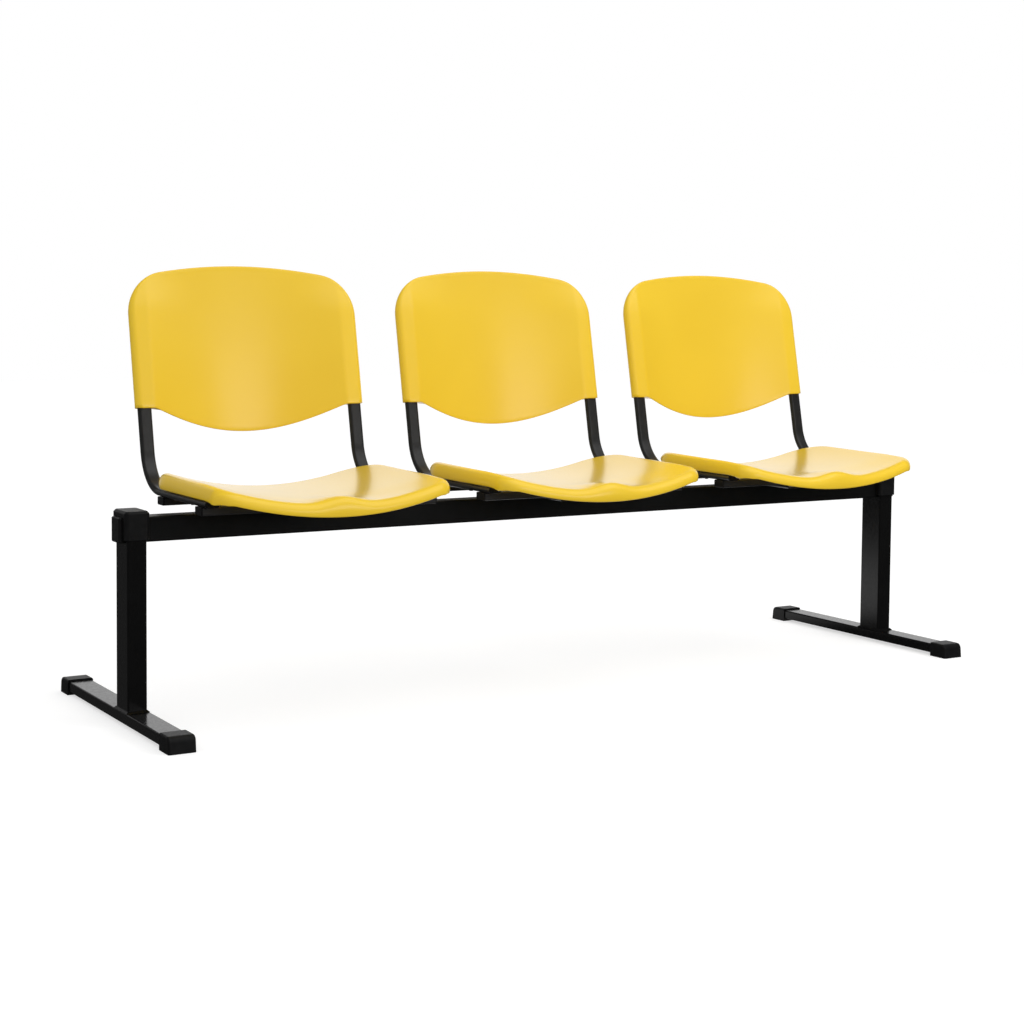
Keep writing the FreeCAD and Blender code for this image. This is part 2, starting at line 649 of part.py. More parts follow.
# A flat-oval face, wide along one direction and thin along another, about the origin
def oval_face(wide, thick, u, v):
    r = thick / 2
    c = wide / 2 - r
    edges = [
        Part.LineSegment(u * -c - v * r, u * c - v * r).toShape(),
        Part.Arc(u * c - v * r, u * (c + r), u * c + v * r).toShape(),
        Part.LineSegment(u * c + v * r, u * -c + v * r).toShape(),
        Part.Arc(u * -c + v * r, u * (-c - r), u * -c - v * r).toShape(),
    ]
    return Part.Face(Part.Wire(edges))


# An oval plug for a side tube: a rounded head outside it and a grip inside, pointing along +X
def oval_plug(wide, thick, wall):
    head = oval_face(wide, thick, V(0, 1, 0), V(0, 0, 1)).extrude(V(size("EndCap"), 0, 0))
    outer = [edge for edge in head.Edges if edge.CenterOfMass.x > size("EndCap") - 0.01]
    head = head.makeFillet(size("EndCap") * 0.6, outer)
    less = 2 * wall + 2 * size("FitGap")
    grip = oval_face(wide - less, thick - less, V(0, 1, 0), V(0, 0, 1)).extrude(V(-size("EndGrip"), 0, 0))
    return head.fuse(grip).removeSplitter()


# A rectangular plug for the end of a crossbar, made in the same way
def box_plug():
    wide = size("BarWide")
    thick = size("BarThick")
    head = Part.makeBox(size("EndCap"), wide, thick, V(0, -wide / 2, -thick / 2))
    head = head.makeFillet(size("BarCorner"), [edge for edge in head.Edges if along(edge, V(1, 0, 0))])
    outer = [edge for edge in head.Edges if edge.CenterOfMass.x > size("EndCap") - 0.01]
    head = head.makeFillet(size("EndCap") * 0.4, outer)
    wide -= 2 * size("BarWall") + 2 * size("FitGap")
    thick -= 2 * size("BarWall") + 2 * size("FitGap")
    grip = Part.makeBox(size("EndGrip"), wide, thick, V(-size("EndGrip"), -wide / 2, -thick / 2))
    return head.fuse(grip).removeSplitter()


def placed(shape, place):
    item = shape.copy()
    item.Placement = place.multiply(item.Placement)
    return item


# Crossbar plugs: four to a seat, one in each end of each crossbar
def bar_plugs(label, seat):
    plug = box_plug()
    half = bar_length / 2
    shapes = []
    for y in (-size("BarFront"), size("BarRear")):
        for side, angle in ((1, 0), (-1, 180)):
            place = FreeCAD.Placement(V(side * half, y, 0), FreeCAD.Rotation(V(0, 0, 1), angle))
            shapes.append(placed(plug, place))
    middle = bar_under + size("BarThick") / 2
    keep(label, Part.makeCompound(shapes), V(seat * size("SeatPitch"), 0, middle))


# Side tube plugs: two to a seat, in the front ends of the side tubes
def tube_plugs(label, seat):
    plug = oval_plug(size("TubeWide"), size("TubeThick"), size("TubeWall"))
    shapes = []
    for side in (-1, 1):
        spot = V(side * tube_offset, -size("TubeFront"), 0)
        place = FreeCAD.Placement(spot, FreeCAD.Rotation(V(0, 0, 1), -90))
        shapes.append(placed(plug, place))
    keep(label, Part.makeCompound(shapes), V(seat * size("SeatPitch"), 0, tube_mid))


# Saddle bolts: hexagon heads on round washers, threaded into the top wall of the beam
def saddle_bolts(label, seat):
    radius = size("BoltHead") / math.sqrt(3)
    base = size("SaddleWall") + size("WasherThick")
    ring = [V(radius * math.cos(k * math.pi / 3), radius * math.sin(k * math.pi / 3), base) for k in range(7)]
    head = Part.Face(Part.makePolygon(ring)).extrude(V(0, 0, size("BoltHeadTall")))
    washer = Part.makeCylinder(size("WasherSize") / 2, size("WasherThick"), V(0, 0, size("SaddleWall")))
    shank = Part.makeCylinder(size("BoltSize") / 2, size("BoltLength"), V(0, 0, base - size("BoltLength")))
    bolt = head.fuse([washer, shank]).removeSplitter()
    shapes = []
    for x in (-1, 1):
        for y in (-1, 1):
            spot = V(x * size("BoltSpread") / 2, y * size("BoltRow") / 2, 0)
            shapes.append(placed(bolt, FreeCAD.Placement(spot, FreeCAD.Rotation())))
    keep(label, Part.makeCompound(shapes), V(seat * size("SeatPitch"), 0, beam_top))


# Seat screws: pan heads under the side tubes, driven up into the bosses of the seat shell
def seat_screws(label, seat):
    long = size("TubeThick") + size("ScrewGrip")
    shank = Part.makeCylinder(size("ScrewSize") / 2, long)
    tall = size("ScrewHeadTall")
    head = Part.makeCone(size("ScrewHead") / 2 * 0.75, size("ScrewHead") / 2, tall, V(0, 0, -tall))
    screw = shank.fuse(head).removeSplitter()
    shapes = []
    for x in (-1, 1):
        for y in (-size("ScrewFront"), size("ScrewRear")):
            spot = V(x * tube_offset, y, 0)
            shapes.append(placed(screw, FreeCAD.Placement(spot, FreeCAD.Rotation())))
    keep(label, Part.makeCompound(shapes), V(seat * size("SeatPitch"), 0, bar_top))


def smooth(value, low, high):
    # Rises smoothly from 0 at low to 1 at high
    q = min(1.0, max(0.0, (value - low) / (high - low)))
    return q * q * (3 - 2 * q)


# A closed curve through points, with the same marks for every ring of one skin
def ring(points, marks):
    curve = Part.BSplineCurve()
    curve.interpolate(Points=points, Parameters=marks, PeriodicFlag=True)
    return curve


# Marks in step with the mean distance between neighbouring stations
def mean_marks(rows):
    marks = [0.0]
    for k in range(1, len(rows[0])):
        steps = [(row[k] - row[k - 1]).Length for row in rows]
        marks.append(marks[-1] + sum(steps) / len(steps))
    return marks


# A smooth face through profiles that stand round a closed outline. Each row is one profile;
# with a peak, all profiles start at the same point
def skin(rows, around, peak):
    marks = mean_marks(rows)
    profiles = []
    for row in rows:
        curve = Part.BSplineCurve()
        curve.interpolate(Points=row, Parameters=marks)
        profiles.append(curve)
    ladders = [curve.getPoles() for curve in profiles]
    count = len(ladders[0])
    rings = [ring([ladder[k] for ladder in ladders], around) for k in range(1, count)]
    if peak:
        start = [rows[0][0]] * len(rings[0].getPoles())
    else:
        start = ring([ladder[0] for ladder in ladders], around).getPoles()
    net = [start] + [curve.getPoles() for curve in rings]
    a = profiles[0]
    b = rings[0]
    surface = Part.BSplineSurface()
    surface.buildFromPolesMultsKnots(
        net, a.getMultiplicities(), b.getMultiplicities(), a.getKnots(), b.getKnots(), False, True, 3, 3)
    return surface


# Height of the seat's upper side above the tops of the side tubes: a dish across the seat,
# and two thigh hollows with a low pommel between them at the front
def seat_top(x, y):
    rear = size("SeatRear")
    front = -size("SeatFront")
    share = (rear - y) / (rear - front)
    dish = size("DishFront") + (size("DishRear") - size("DishFront")) * (1 - share) ** 2
    half = size("SeatWidth") / 2 - size("DishInset")
    rise = 1 - smooth(y - front, size("PommelFull"), size("PommelReach"))
    bump = math.exp(-(x / size("PommelWide")) ** 2)
    front_shape = rise * (size("Pommel") * bump - size("ThighDip"))
    return dish * (x / half) ** 2 + front_shape - size("SeatSink")


# Stations round the seat's outline from the middle of the rear edge: a point and the way out.
# Straight rear and sides, round corners and a bowed front edge
def seat_outline():
    half = size("SeatWidth") / 2
    rear = size("SeatRear")
    big = size("SeatRearCorner")
    small = size("SeatFrontCorner")
    bow = size("SeatFront") - size("SeatCheek")
    arc = (half * half + bow * bow) / (2 * bow)
    middle = arc - size("SeatFront")
    turn_y = middle - math.sqrt((arc - small) ** 2 - (half - small) ** 2)
    swing = math.degrees(math.acos((half - small) / (arc - small)))
    side = [((half - big) * q, rear, 90.0) for q in (0, 0.6, 0.9)]
    for q in (0.05, 0.25, 0.5, 0.75, 0.95):
        a = math.radians(90 - 90 * q)
        side.append((half - big + big * math.cos(a), rear - big + big * math.sin(a), 90 - 90 * q))
    for q in (0.1, 0.5, 0.9):
        side.append((half, rear - big + (turn_y - rear + big) * q, 0.0))
    for q in (0.05, 0.25, 0.5, 0.75, 0.95):
        a = math.radians(-swing * q)
        side.append((half - small + small * math.cos(a), turn_y + small * math.sin(a), -swing * q))
    for q in (0.1, 0.3, 0.5, 0.7, 0.85, 1):
        angle = -swing + (swing - 90) * q
        a = math.radians(angle)
        side.append((arc * math.cos(a), middle + arc * math.sin(a), angle))
    stations = []
    for x, y, angle in side:
        a = math.radians(angle)
        stations.append((V(x, y, 0), V(math.cos(a), math.sin(a), 0)))
    for point, out in reversed(stations[1:-1]):
        stations.append((V(-point.x, point.y, 0), V(-out.x, out.y, 0)))
    return stations


# One profile of the seat at a station, from the middle out: over the dish and round the rim to
# the skirt, which flares out to the hem. Outside and inside run one wall thickness apart
def seat_profile(point, out):
    wall = size("SeatWall")
    nose = smooth(-out.y, 0, 0.4)
    rim = size("SeatRim") + (size("SeatNose") - size("SeatRim")) * nose
    flare = size("SkirtFlare") - size("NoseTuck") * nose
    core = point - out * (rim + flare)
    step = 0.5
    slope = 0.0
    for _ in range(5):
        spot = core - out * (rim * math.sin(slope))
        near = seat_top(spot.x - out.x * step, spot.y - out.y * step)
        far = seat_top(spot.x + out.x * step, spot.y + out.y * step)
        slope = math.atan((far - near) / (2 * step))
    core.z = seat_top(spot.x, spot.y) - rim * math.cos(slope)
    depth = size("SkirtSide") + (size("SkirtRear") - size("SkirtSide")) * smooth(out.y, 0, 0.7)
    lip = -size("LipDrop") + size("LipRise") * (2 * point.x / size("SeatWidth")) ** 2
    front = smooth(-out.y, 0, 0.9)
    side = core.z + rim - depth
    lift = size("SkirtLift")
    along = 1 - smooth(out.y, 0.3, 0.6)
    along *= 1 - smooth(-point.y, size("TubeFront") + size("EndCap"), size("SeatCheek"))
    side += along * (lift - side + math.hypot(side - lift, size("SkirtSoft"))) / 2
    low = (1 - front) * side + front * lip
    low -= size("NoseDrop") * nose * (1 - smooth(-out.y, 0.85, 1))
    drop = low - core.z
    reach = math.hypot(rim + flare, drop)
    lean = math.atan2(drop, rim + flare) + math.acos(rim / reach)
    middle = V(0, -size("SeatMiddle"), 0)
    outer = []
    inner = []
    for q in (0, 0.35, 0.75):
        p = middle + (spot - middle) * q
        tilt_x = (seat_top(p.x + step, p.y) - seat_top(p.x - step, p.y)) / (2 * step)
        tilt_y = (seat_top(p.x, p.y + step) - seat_top(p.x, p.y - step)) / (2 * step)
        normal = V(-tilt_x, -tilt_y, 1).normalize()
        p.z = seat_top(p.x, p.y)
        outer.append(p)
        inner.append(p - normal * wall)
    for q in (0, 0.33, 0.67, 1):
        a = (math.pi / 2 + slope) * (1 - q) + lean * q
        way = out * math.cos(a) + V(0, 0, math.sin(a))
        outer.append(core + way * rim)
        inner.append(core + way * (rim - wall))
    hem = V(point.x, point.y, low)
    return outer, inner, hem, hem - out * (wall / math.cos(lean))


# Seat shell: outer and inner skins, a skirt below each, and a narrow edge that joins the
# skirts, with four screw bosses that stand on the side tubes
def seat_shell():
    wall = size("SeatWall")
    stations = seat_outline()
    marks = [0.0]
    for k in range(len(stations)):
        step = stations[(k + 1) % len(stations)][0] - stations[k][0]
        marks.append(marks[-1] + step.Length)
    outer = []
    inner = []
    lows = []
    insides = []
    for point, out in stations:
        outside, inside, hem, hem_inside = seat_profile(point, out)
        outer.append(outside)
        inner.append(inside)
        lows.append(hem)
        insides.append(hem_inside)
    outer_skin = skin(outer, marks, True)
    inner_skin = skin(inner, marks, True)
    hems = []
    for surface in (outer_skin, inner_skin):
        hems.append(surface.uIso(surface.bounds()[1]).toShape())
    edges = [ring(lows, marks).toShape(), ring(insides, marks).toShape()]
    faces = [outer_skin.toShape(), inner_skin.toShape()]
    faces.append(Part.makeRuledSurface(hems[0], edges[0]))
    faces.append(Part.makeRuledSurface(hems[1], edges[1]))
    faces.append(Part.makeRuledSurface(edges[0], edges[1]))
    hull = Part.makeShell(faces)
    hull.sewShape()
    shell = Part.makeSolid(hull)
    if shell.Volume < 0:
        shell.reverse()
    bosses = []
    bores = []
    for x in (-1, 1):
        for y in (-size("ScrewFront"), size("ScrewRear")):
            spot = V(x * tube_offset, y, 0)
            tall = seat_top(spot.x, spot.y) - wall
            bosses.append(Part.makeCylinder(size("BossSize") / 2, tall, spot))
            bore = size("ScrewSize") / 2 + size("FitGap")
            bores.append(Part.makeCylinder(bore, size("ScrewGrip") + 1, spot))
    return shell.fuse(bosses).cut(bores)


# One closed section of the back, square to the tubes: a hollow panel between two sleeves that
# go round the tubes and thin out towards the top
def back_section(up):
    gap = size("FitGap")
    wall = size("SleeveWall")
    crown = size("BackCrown")
    deep = size("TubeThick") / 2 + gap + wall
    reach = tube_offset + size("TubeWide") / 2 + gap + wall
    inner = tube_offset - size("TubeWide") / 2 - gap - wall
    share = (up + size("BackTongue")) / (crown + size("BackTongue"))
    hollow = size("BackHollowLow") + (size("BackHollowHigh") - size("BackHollowLow")) * share
    thin = smooth(up, size("SleeveDepth") + size("BackRoof"), crown)
    thick = deep + (size("BackEdge") / 2 - deep) * thin
    centre = reach - thick
    crease = size("BackCrease")
    step = size("BackStep")
    sweep = hollow + thick - size("BackWall") / 2
    fall = 2 * sweep / inner

    def face(x):
        # Hollow between the sleeves, flat over them, rounded where the two meet
        if x > inner + crease:
            return -thick
        if x < inner - crease:
            return sweep * (1 - (x / inner) ** 2) - thick
        return fall * (inner + crease - x) ** 2 / (4 * crease) - thick

    front = []
    rear = []
    middle = [inner * q for q in (0, 0.3, 0.55, 0.75, 0.87)]
    for x in middle + [inner + crease * q for q in (-2, -1, 0, 1)]:
        front.append(V(x, face(x), up))
    for x in middle + [inner - step * q for q in (1.1, 0.85, 0.6, 0.35, 0.1, -0.1)]:
        mix = smooth(x, inner - step, inner)
        rear.append(V(x, (1 - mix) * (face(x) + size("BackWall")) + mix * thick, up))
    front.append(V((inner + centre) / 2, -thick, up))
    rear.append(V((inner + centre) / 2, thick, up))
    end = []
    for k in range(7):
        a = math.radians(-90 + 30 * k)
        end.append(V(centre + thick * math.cos(a), thick * math.sin(a), up))
    right = front + end + list(reversed(rear))
    left = [V(-p.x, p.y, up) for p in reversed(right[1:-1])]
    return right + left


# The back's outline seen from the front: straight sides, a crowned top with round corners,
# level sleeve ends and a tongue that hangs between them
def back_outline():
    half = tube_offset + size("TubeWide") / 2 + size("FitGap") + size("SleeveWall") + size("EdgeClear")
    crown = size("BackCrown")
    shoulder = size("BackShoulder")
    foot = half - size("BackFoot")
    tongue = size("BackTongue")
    near = -size("BackHollowLow") * 2
    far = size("BackHollowLow") * 3
    curve = Part.BSplineCurve()
    steps = [k / 6 for k in range(-6, 7)]
    curve.interpolate([V(foot * q, near, -tongue * (1 - q * q) ** 1.1) for q in steps])
    edges = [
        curve.toShape(),
        Part.LineSegment(V(foot, near, 0), V(half, near, 0)).toShape(),
        Part.LineSegment(V(half, near, 0), V(half, near, shoulder)).toShape(),
        Part.Arc(V(half, near, shoulder), V(0, near, crown), V(-half, near, shoulder)).toShape(),
        Part.LineSegment(V(-half, near, shoulder), V(-half, near, 0)).toShape(),
        Part.LineSegment(V(-half, near, 0), V(-foot, near, 0)).toShape(),
    ]
    block = Part.Face(Part.Wire(edges)).extrude(V(0, far - near, 0))
    depth = [edge for edge in block.Edges if along(edge, V(0, 1, 0))]
    top = [edge for edge in depth if abs(edge.CenterOfMass.z - shoulder) < 0.01]
    return block.makeFillet(size("BackCorner"), top)


# Back shell: a moulded panel with a blind sleeve at each side that slides down over the tubes
def back_shell():
    gap = size("FitGap")
    crown = size("BackCrown")
    spare = size("BackHollowLow")
    low = -size("BackTongue") - spare
    high = crown + spare
    roof = size("SleeveDepth") + size("BackRoof")
    ups = [low, 0, roof * 0.5, roof]
    ups += [roof + (crown - roof) * q for q in (0.3, 0.6, 0.85)]
    ups += [crown, high]
    sections = [back_section(up) for up in ups]
    marks = [0.0]
    for k in range(len(sections[0])):
        steps = [(s[(k + 1) % len(s)] - s[k]).Length for s in sections]
        marks.append(marks[-1] + sum(steps) / len(steps))
    rows = [list(row) for row in zip(*sections)]
    side = skin(rows, marks, False)
    ends = []
    for u in (side.bounds()[0], side.bounds()[1]):
        ends.append(Part.Face(Part.Wire([side.uIso(u).toShape()])))
    hull = Part.makeShell([side.toShape()] + ends)
    hull.sewShape()
    solid = Part.makeSolid(hull)
    if solid.Volume < 0:
        solid.reverse()
    shell = solid.common(back_outline())
    bore = oval_face(size("TubeWide") + 2 * gap, size("TubeThick") + 2 * gap, V(1, 0, 0), V(0, 1, 0))
    bore = bore.extrude(V(0, 0, size("SleeveDepth") + spare))
    bores = []
    for side in (-1, 1):
        spot = FreeCAD.Placement(V(side * tube_offset, 0, -spare), FreeCAD.Rotation())
        bores.append(placed(bore, spot))
    return shell.cut(bores)


for side, name in ((-1, "left"), (1, "right")):
    foot_bar("foot_bar_" + name, side)
    foot_cap("foot_cap_front_" + name, side, -1)
    foot_cap("foot_cap_rear_" + name, side, 1)
    leg_post("leg_post_" + name, side)
    leg_weld("leg_weld_" + name, side)
    leg_cover("leg_cover_" + name, side)
    beam_plug("beam_plug_" + name, side)
beam("beam")

seat_form = seat_shell()
back_form = back_shell()
for seat, name in ((-1, "left"), (0, "middle"), (1, "right")):
    saddle("saddle_" + name, seat)
    saddle_bolts("saddle_bolts_" + name, seat)
    crossbar("crossbar_front_" + name, seat, "-{BarFront}")
    crossbar("crossbar_rear_" + name, seat, "{BarRear}")
    bar_plugs("crossbar_plugs_" + name, seat)
    side_tube("tube_left_" + name, seat, -1)
    side_tube("tube_right_" + name, seat, 1)
    tube_plugs("tube_plugs_" + name, seat)
    seat_screws("seat_screws_" + name, seat)
    across = seat * size("SeatPitch")
    keep("seat_shell_" + name, seat_form, V(across, 0, tube_top))
    lean = FreeCAD.Rotation(V(1, 0, 0), -size("BackTilt"))
    anchor = V(across, size("BackSet"), tube_mid + size("BackRise"))
    keep("back_shell_" + name, back_form, anchor, lean)

doc.recompute()
for item in doc.Objects:
    if "Invalid" in item.State or "Error" in item.State:
        raise RuntimeError("failed: " + item.Name)
for item in pieces:
    if item.Shape.isNull() or not item.Shape.isValid():
        raise RuntimeError("bad shape: " + item.Label)

os.makedirs("parts", exist_ok=True)
for item in pieces:
    item.Shape.exportStep("parts/" + item.Label + ".step")
    box = item.Shape.BoundBox
    print(item.Label, len(item.Shape.Solids), round(item.Shape.Volume / 1000, 2), "cm3",
          [round(v, 1) for v in (box.XMin, box.XMax, box.YMin, box.YMax, box.ZMin, box.ZMax)])
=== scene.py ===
# %% [markdown]
# A waiting-room bench: three yellow plastic seats and backs on black oval-tube frames, bolted in a
# row to one steel beam on two T-shaped legs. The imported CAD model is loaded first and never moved.
# The black steel stays as CAD solids with new finishes. The moulded shells are modelled again here
# as smooth meshes, because glossy plastic shows every flat facet in its reflections.

# %% Load the frame
import json
import math

import bmesh
import bpy
from mathutils import Matrix, Vector


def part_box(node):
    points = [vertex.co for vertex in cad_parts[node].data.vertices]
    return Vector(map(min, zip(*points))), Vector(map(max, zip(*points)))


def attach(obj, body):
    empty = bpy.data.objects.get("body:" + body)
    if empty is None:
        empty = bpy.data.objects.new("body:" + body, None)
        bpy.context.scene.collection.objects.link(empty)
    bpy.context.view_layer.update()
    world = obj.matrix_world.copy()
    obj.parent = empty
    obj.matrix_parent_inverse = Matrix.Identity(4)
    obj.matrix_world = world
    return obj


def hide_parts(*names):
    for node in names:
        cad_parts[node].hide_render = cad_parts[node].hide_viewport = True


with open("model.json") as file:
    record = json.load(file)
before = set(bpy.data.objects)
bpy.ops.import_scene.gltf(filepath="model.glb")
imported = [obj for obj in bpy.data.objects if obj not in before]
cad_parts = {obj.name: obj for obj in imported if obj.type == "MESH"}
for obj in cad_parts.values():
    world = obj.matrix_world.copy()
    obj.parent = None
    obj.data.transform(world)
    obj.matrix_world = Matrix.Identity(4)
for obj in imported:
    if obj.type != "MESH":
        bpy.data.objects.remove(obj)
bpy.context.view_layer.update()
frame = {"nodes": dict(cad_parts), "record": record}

# %% [markdown]
# The camera stands low and to the left of the bench, so the three seats step back to the right.
# A camera can be aimed at a target by a constraint, or its matrix can be built from its axes. The
# axes are built here, because the angles were worked out from the straight beam, the posts and the
# equal seats. The picture is framed a little below the lens's axis, as it is with a shifted lens,
# which keeps the posts upright.

# %% Camera
LEG_Y = sum(corner.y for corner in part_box("leg_post_left")) / 2
CAMERA_FROM_LEGS = Vector((-1.9702, -3.1070, 0.7487))
CAMERA_YAW = math.radians(31.162)
CAMERA_PITCH = math.radians(3.323)
CAMERA_ROLL = math.radians(0.526)
CAMERA_LENS_MM = 64.54
CAMERA_SHIFT_Y = -0.0973


def camera_axes():
    ahead = Vector((
        math.sin(CAMERA_YAW) * math.cos(CAMERA_PITCH),
        math.cos(CAMERA_YAW) * math.cos(CAMERA_PITCH),
        -math.sin(CAMERA_PITCH),
    ))
    level = Vector((math.cos(CAMERA_YAW), -math.sin(CAMERA_YAW), 0))
    rise = level.cross(ahead)
    right = level * math.cos(CAMERA_ROLL) + rise * math.sin(CAMERA_ROLL)
    up = rise * math.cos(CAMERA_ROLL) - level * math.sin(CAMERA_ROLL)
    return right, up, ahead


right, up, ahead = camera_axes()
camera_data = bpy.data.cameras.new("camera")
camera_data.lens = CAMERA_LENS_MM
camera_data.sensor_width = 36
camera_data.shift_y = CAMERA_SHIFT_Y
camera = bpy.data.objects.new("camera", camera_data)
camera.matrix_world = Matrix((
    (right.x, up.x, -ahead.x, CAMERA_FROM_LEGS.x),
    (right.y, up.y, -ahead.y, CAMERA_FROM_LEGS.y + LEG_Y),
    (right.z, up.z, -ahead.z, CAMERA_FROM_LEGS.z),
    (0, 0, 0, 1),
))
bpy.context.scene.collection.objects.link(camera)
bpy.context.scene.camera = camera
print("camera at", [round(v, 3) for v in camera.matrix_world.translation])

# %% [markdown]
# A studio picture of this kind has one white sweep behind the object and a dim room all round. The
# sweep could be a curved wall of mesh, but the world can do the same without any geometry. It gives
# an even light. To the camera it is plain white. In mirrored rays it is white only straight behind
# the bench, which gives the seats their pale sheen and leaves the steel black.

# %% World
WORLD_LIGHT = 0.87
ROOM_DIM = 0.05
SWEEP_WAY = (math.sin(CAMERA_YAW), math.cos(CAMERA_YAW), 0)
SWEEP_EDGE = 0.6
SWEEP_FULL = 0.92


def seen_directly(tree):
    # 1 for rays that come from the camera or through something clear
    path = tree.nodes.new("ShaderNodeLightPath")
    straight = larger(tree, path.outputs["Is Camera Ray"], path.outputs["Is Transmission Ray"])
    return straight, path.outputs["Is Glossy Ray"]


def larger(tree, a, b):
    node = tree.nodes.new("ShaderNodeMath")
    node.operation = "MAXIMUM"
    tree.links.new(a, node.inputs[0])
    tree.links.new(b, node.inputs[1])
    return node.outputs[0]


def sweep_share(tree, place, low):
    # 1 straight behind the bench, falling to the low value at the sides and in front
    unit = tree.nodes.new("ShaderNodeVectorMath")
    unit.operation = "NORMALIZE"
    tree.links.new(place, unit.inputs[0])
    along = tree.nodes.new("ShaderNodeVectorMath")
    along.operation = "DOT_PRODUCT"
    along.inputs[1].default_value = SWEEP_WAY
    tree.links.new(unit.outputs["Vector"], along.inputs[0])
    share = tree.nodes.new("ShaderNodeMapRange")
    share.interpolation_type = "SMOOTHSTEP"
    share.inputs["From Min"].default_value = SWEEP_EDGE
    share.inputs["From Max"].default_value = SWEEP_FULL
    share.inputs["To Min"].default_value = low
    share.inputs["To Max"].default_value = 1
    tree.links.new(along.outputs["Value"], share.inputs["Value"])
    return share.outputs["Result"]


world = bpy.data.worlds.new("studio")
world.use_nodes = True
bpy.context.scene.world = world
sky = world.node_tree
even = sky.nodes["Background"]
even.inputs["Color"].default_value = (1, 1, 1, 1)
even.inputs["Strength"].default_value = WORLD_LIGHT
direction = sky.nodes.new("ShaderNodeTexCoord")
behind = sweep_share(sky, direction.outputs["Generated"], ROOM_DIM)
direct, mirrored = seen_directly(sky)
white = sky.nodes.new("ShaderNodeBackground")
white.inputs["Color"].default_value = (1, 1, 1, 1)
sky.links.new(larger(sky, direct, behind), white.inputs["Strength"])
sky_mix = sky.nodes.new("ShaderNodeMixShader")
sky.links.new(larger(sky, direct, mirrored), sky_mix.inputs["Fac"])
sky.links.new(even.outputs[0], sky_mix.inputs[1])
sky.links.new(white.outputs[0], sky_mix.inputs[2])
sky.links.new(sky_mix.outputs[0], sky.nodes["World Output"].inputs["Surface"])
print("world light", WORLD_LIGHT)

# %% [markdown]
# Three area lamps shape the shells. A wide one hangs overhead. A weak low one in front puts a soft
# patch of shine on each back and a streak down each tube. One at the right only lifts the colour
# there, and shows in no mirrored ray. Small lamps or a sun would give hard shadows and sharp spots.

# %% Lamps
TOP_WATTS = 22
FRONT_WATTS = 6
SIDE_WATTS = 19


def soft_lamp(name, place, aim, wide, tall, watts):
    data = bpy.data.lights.new(name, "AREA")
    data.shape = "RECTANGLE"
    data.size = wide
    data.size_y = tall
    data.energy = watts
    lamp = bpy.data.objects.new(name, data)
    lamp.location = place
    lamp.rotation_euler = (Vector(aim) - Vector(place)).to_track_quat("-Z", "Y").to_euler()
    bpy.context.scene.collection.objects.link(lamp)
    return lamp


soft_lamp("top lamp", (0.6, -1.4, 3.2), (0, 0, 0.4), 4.0, 3.0, TOP_WATTS)
soft_lamp("front lamp", (0.8, -3.0, 0.95), (-0.3, 0, 0.6), 1.4, 0.7, FRONT_WATTS)
side_lamp = soft_lamp("side lamp", (1.7, -2.0, 2.3), (0.3, 0, 0.6), 1.2, 1.2, SIDE_WATTS)
side_lamp.visible_glossy = False
print("lamps of", TOP_WATTS, FRONT_WATTS, SIDE_WATTS, "watts")

# %% [markdown]
# The floor is one large pale square. It would look light grey under this light, so it also glows a
# little for the camera, just enough to reach white where no shadow falls. More light would do that
# too, but it would wash out the yellow. In mirrored rays the floor fades to the dim room in the
# same way as the world.

# %% Floor
FLOOR_COLOUR = (0.5, 0.5, 0.5, 1)
FLOOR_GLOW = 0.6
FLOOR_HALF = 14

floor_mesh = bpy.data.meshes.new("floor")
floor_corners = [(x * FLOOR_HALF, y * FLOOR_HALF, 0) for x, y in ((-1, -1), (1, -1), (1, 1), (-1, 1))]
floor_mesh.from_pydata(floor_corners, [], [(0, 1, 2, 3)])
floor = bpy.data.objects.new("floor", floor_mesh)
bpy.context.scene.collection.objects.link(floor)
floor_paint = bpy.data.materials.new("pale floor")
floor_paint.use_nodes = True
floor_tree = floor_paint.node_tree
floor_shader = floor_tree.nodes["Principled BSDF"]
floor_shader.inputs["Base Color"].default_value = FLOOR_COLOUR
floor_shader.inputs["Roughness"].default_value = 0.8
floor_shader.inputs["Specular IOR Level"].default_value = 0.1
direct, mirrored = seen_directly(floor_tree)
glow_size = floor_tree.nodes.new("ShaderNodeMath")
glow_size.operation = "MULTIPLY"
glow_size.inputs[1].default_value = FLOOR_GLOW
floor_tree.links.new(direct, glow_size.inputs[0])
glow = floor_tree.nodes.new("ShaderNodeEmission")
floor_tree.links.new(glow_size.outputs[0], glow.inputs["Strength"])
pale = floor_tree.nodes.new("ShaderNodeAddShader")
floor_tree.links.new(floor_shader.outputs[0], pale.inputs[0])
floor_tree.links.new(glow.outputs[0], pale.inputs[1])
spread = floor_tree.nodes.new("ShaderNodeTexCoord")
room = floor_tree.nodes.new("ShaderNodeEmission")
floor_tree.links.new(sweep_share(floor_tree, spread.outputs["Object"], ROOM_DIM), room.inputs["Strength"])
floor_mix = floor_tree.nodes.new("ShaderNodeMixShader")
floor_tree.links.new(mirrored, floor_mix.inputs["Fac"])
floor_tree.links.new(pale.outputs[0], floor_mix.inputs[1])
floor_tree.links.new(room.outputs[0], floor_mix.inputs[2])
floor_tree.links.new(floor_mix.outputs[0], floor_tree.nodes["Material Output"].inputs["Surface"])
floor_mesh.materials.append(floor_paint)
print("floor", 2 * FLOOR_HALF, "m across")

# %% [markdown]
# Every finish here starts from the principled shader, and noise in the object's own coordinates
# varies its colour, its roughness and its surface, so that no finish is one flat value. Pictures
# could do this too, but noise needs no unwrapping and stays sharp at any size.


# %% Helpers for finishes
def new_finish(name):
    finish = bpy.data.materials.new(name)
    finish.use_nodes = True
    tree = finish.node_tree
    return finish, tree, tree.nodes["Principled BSDF"]


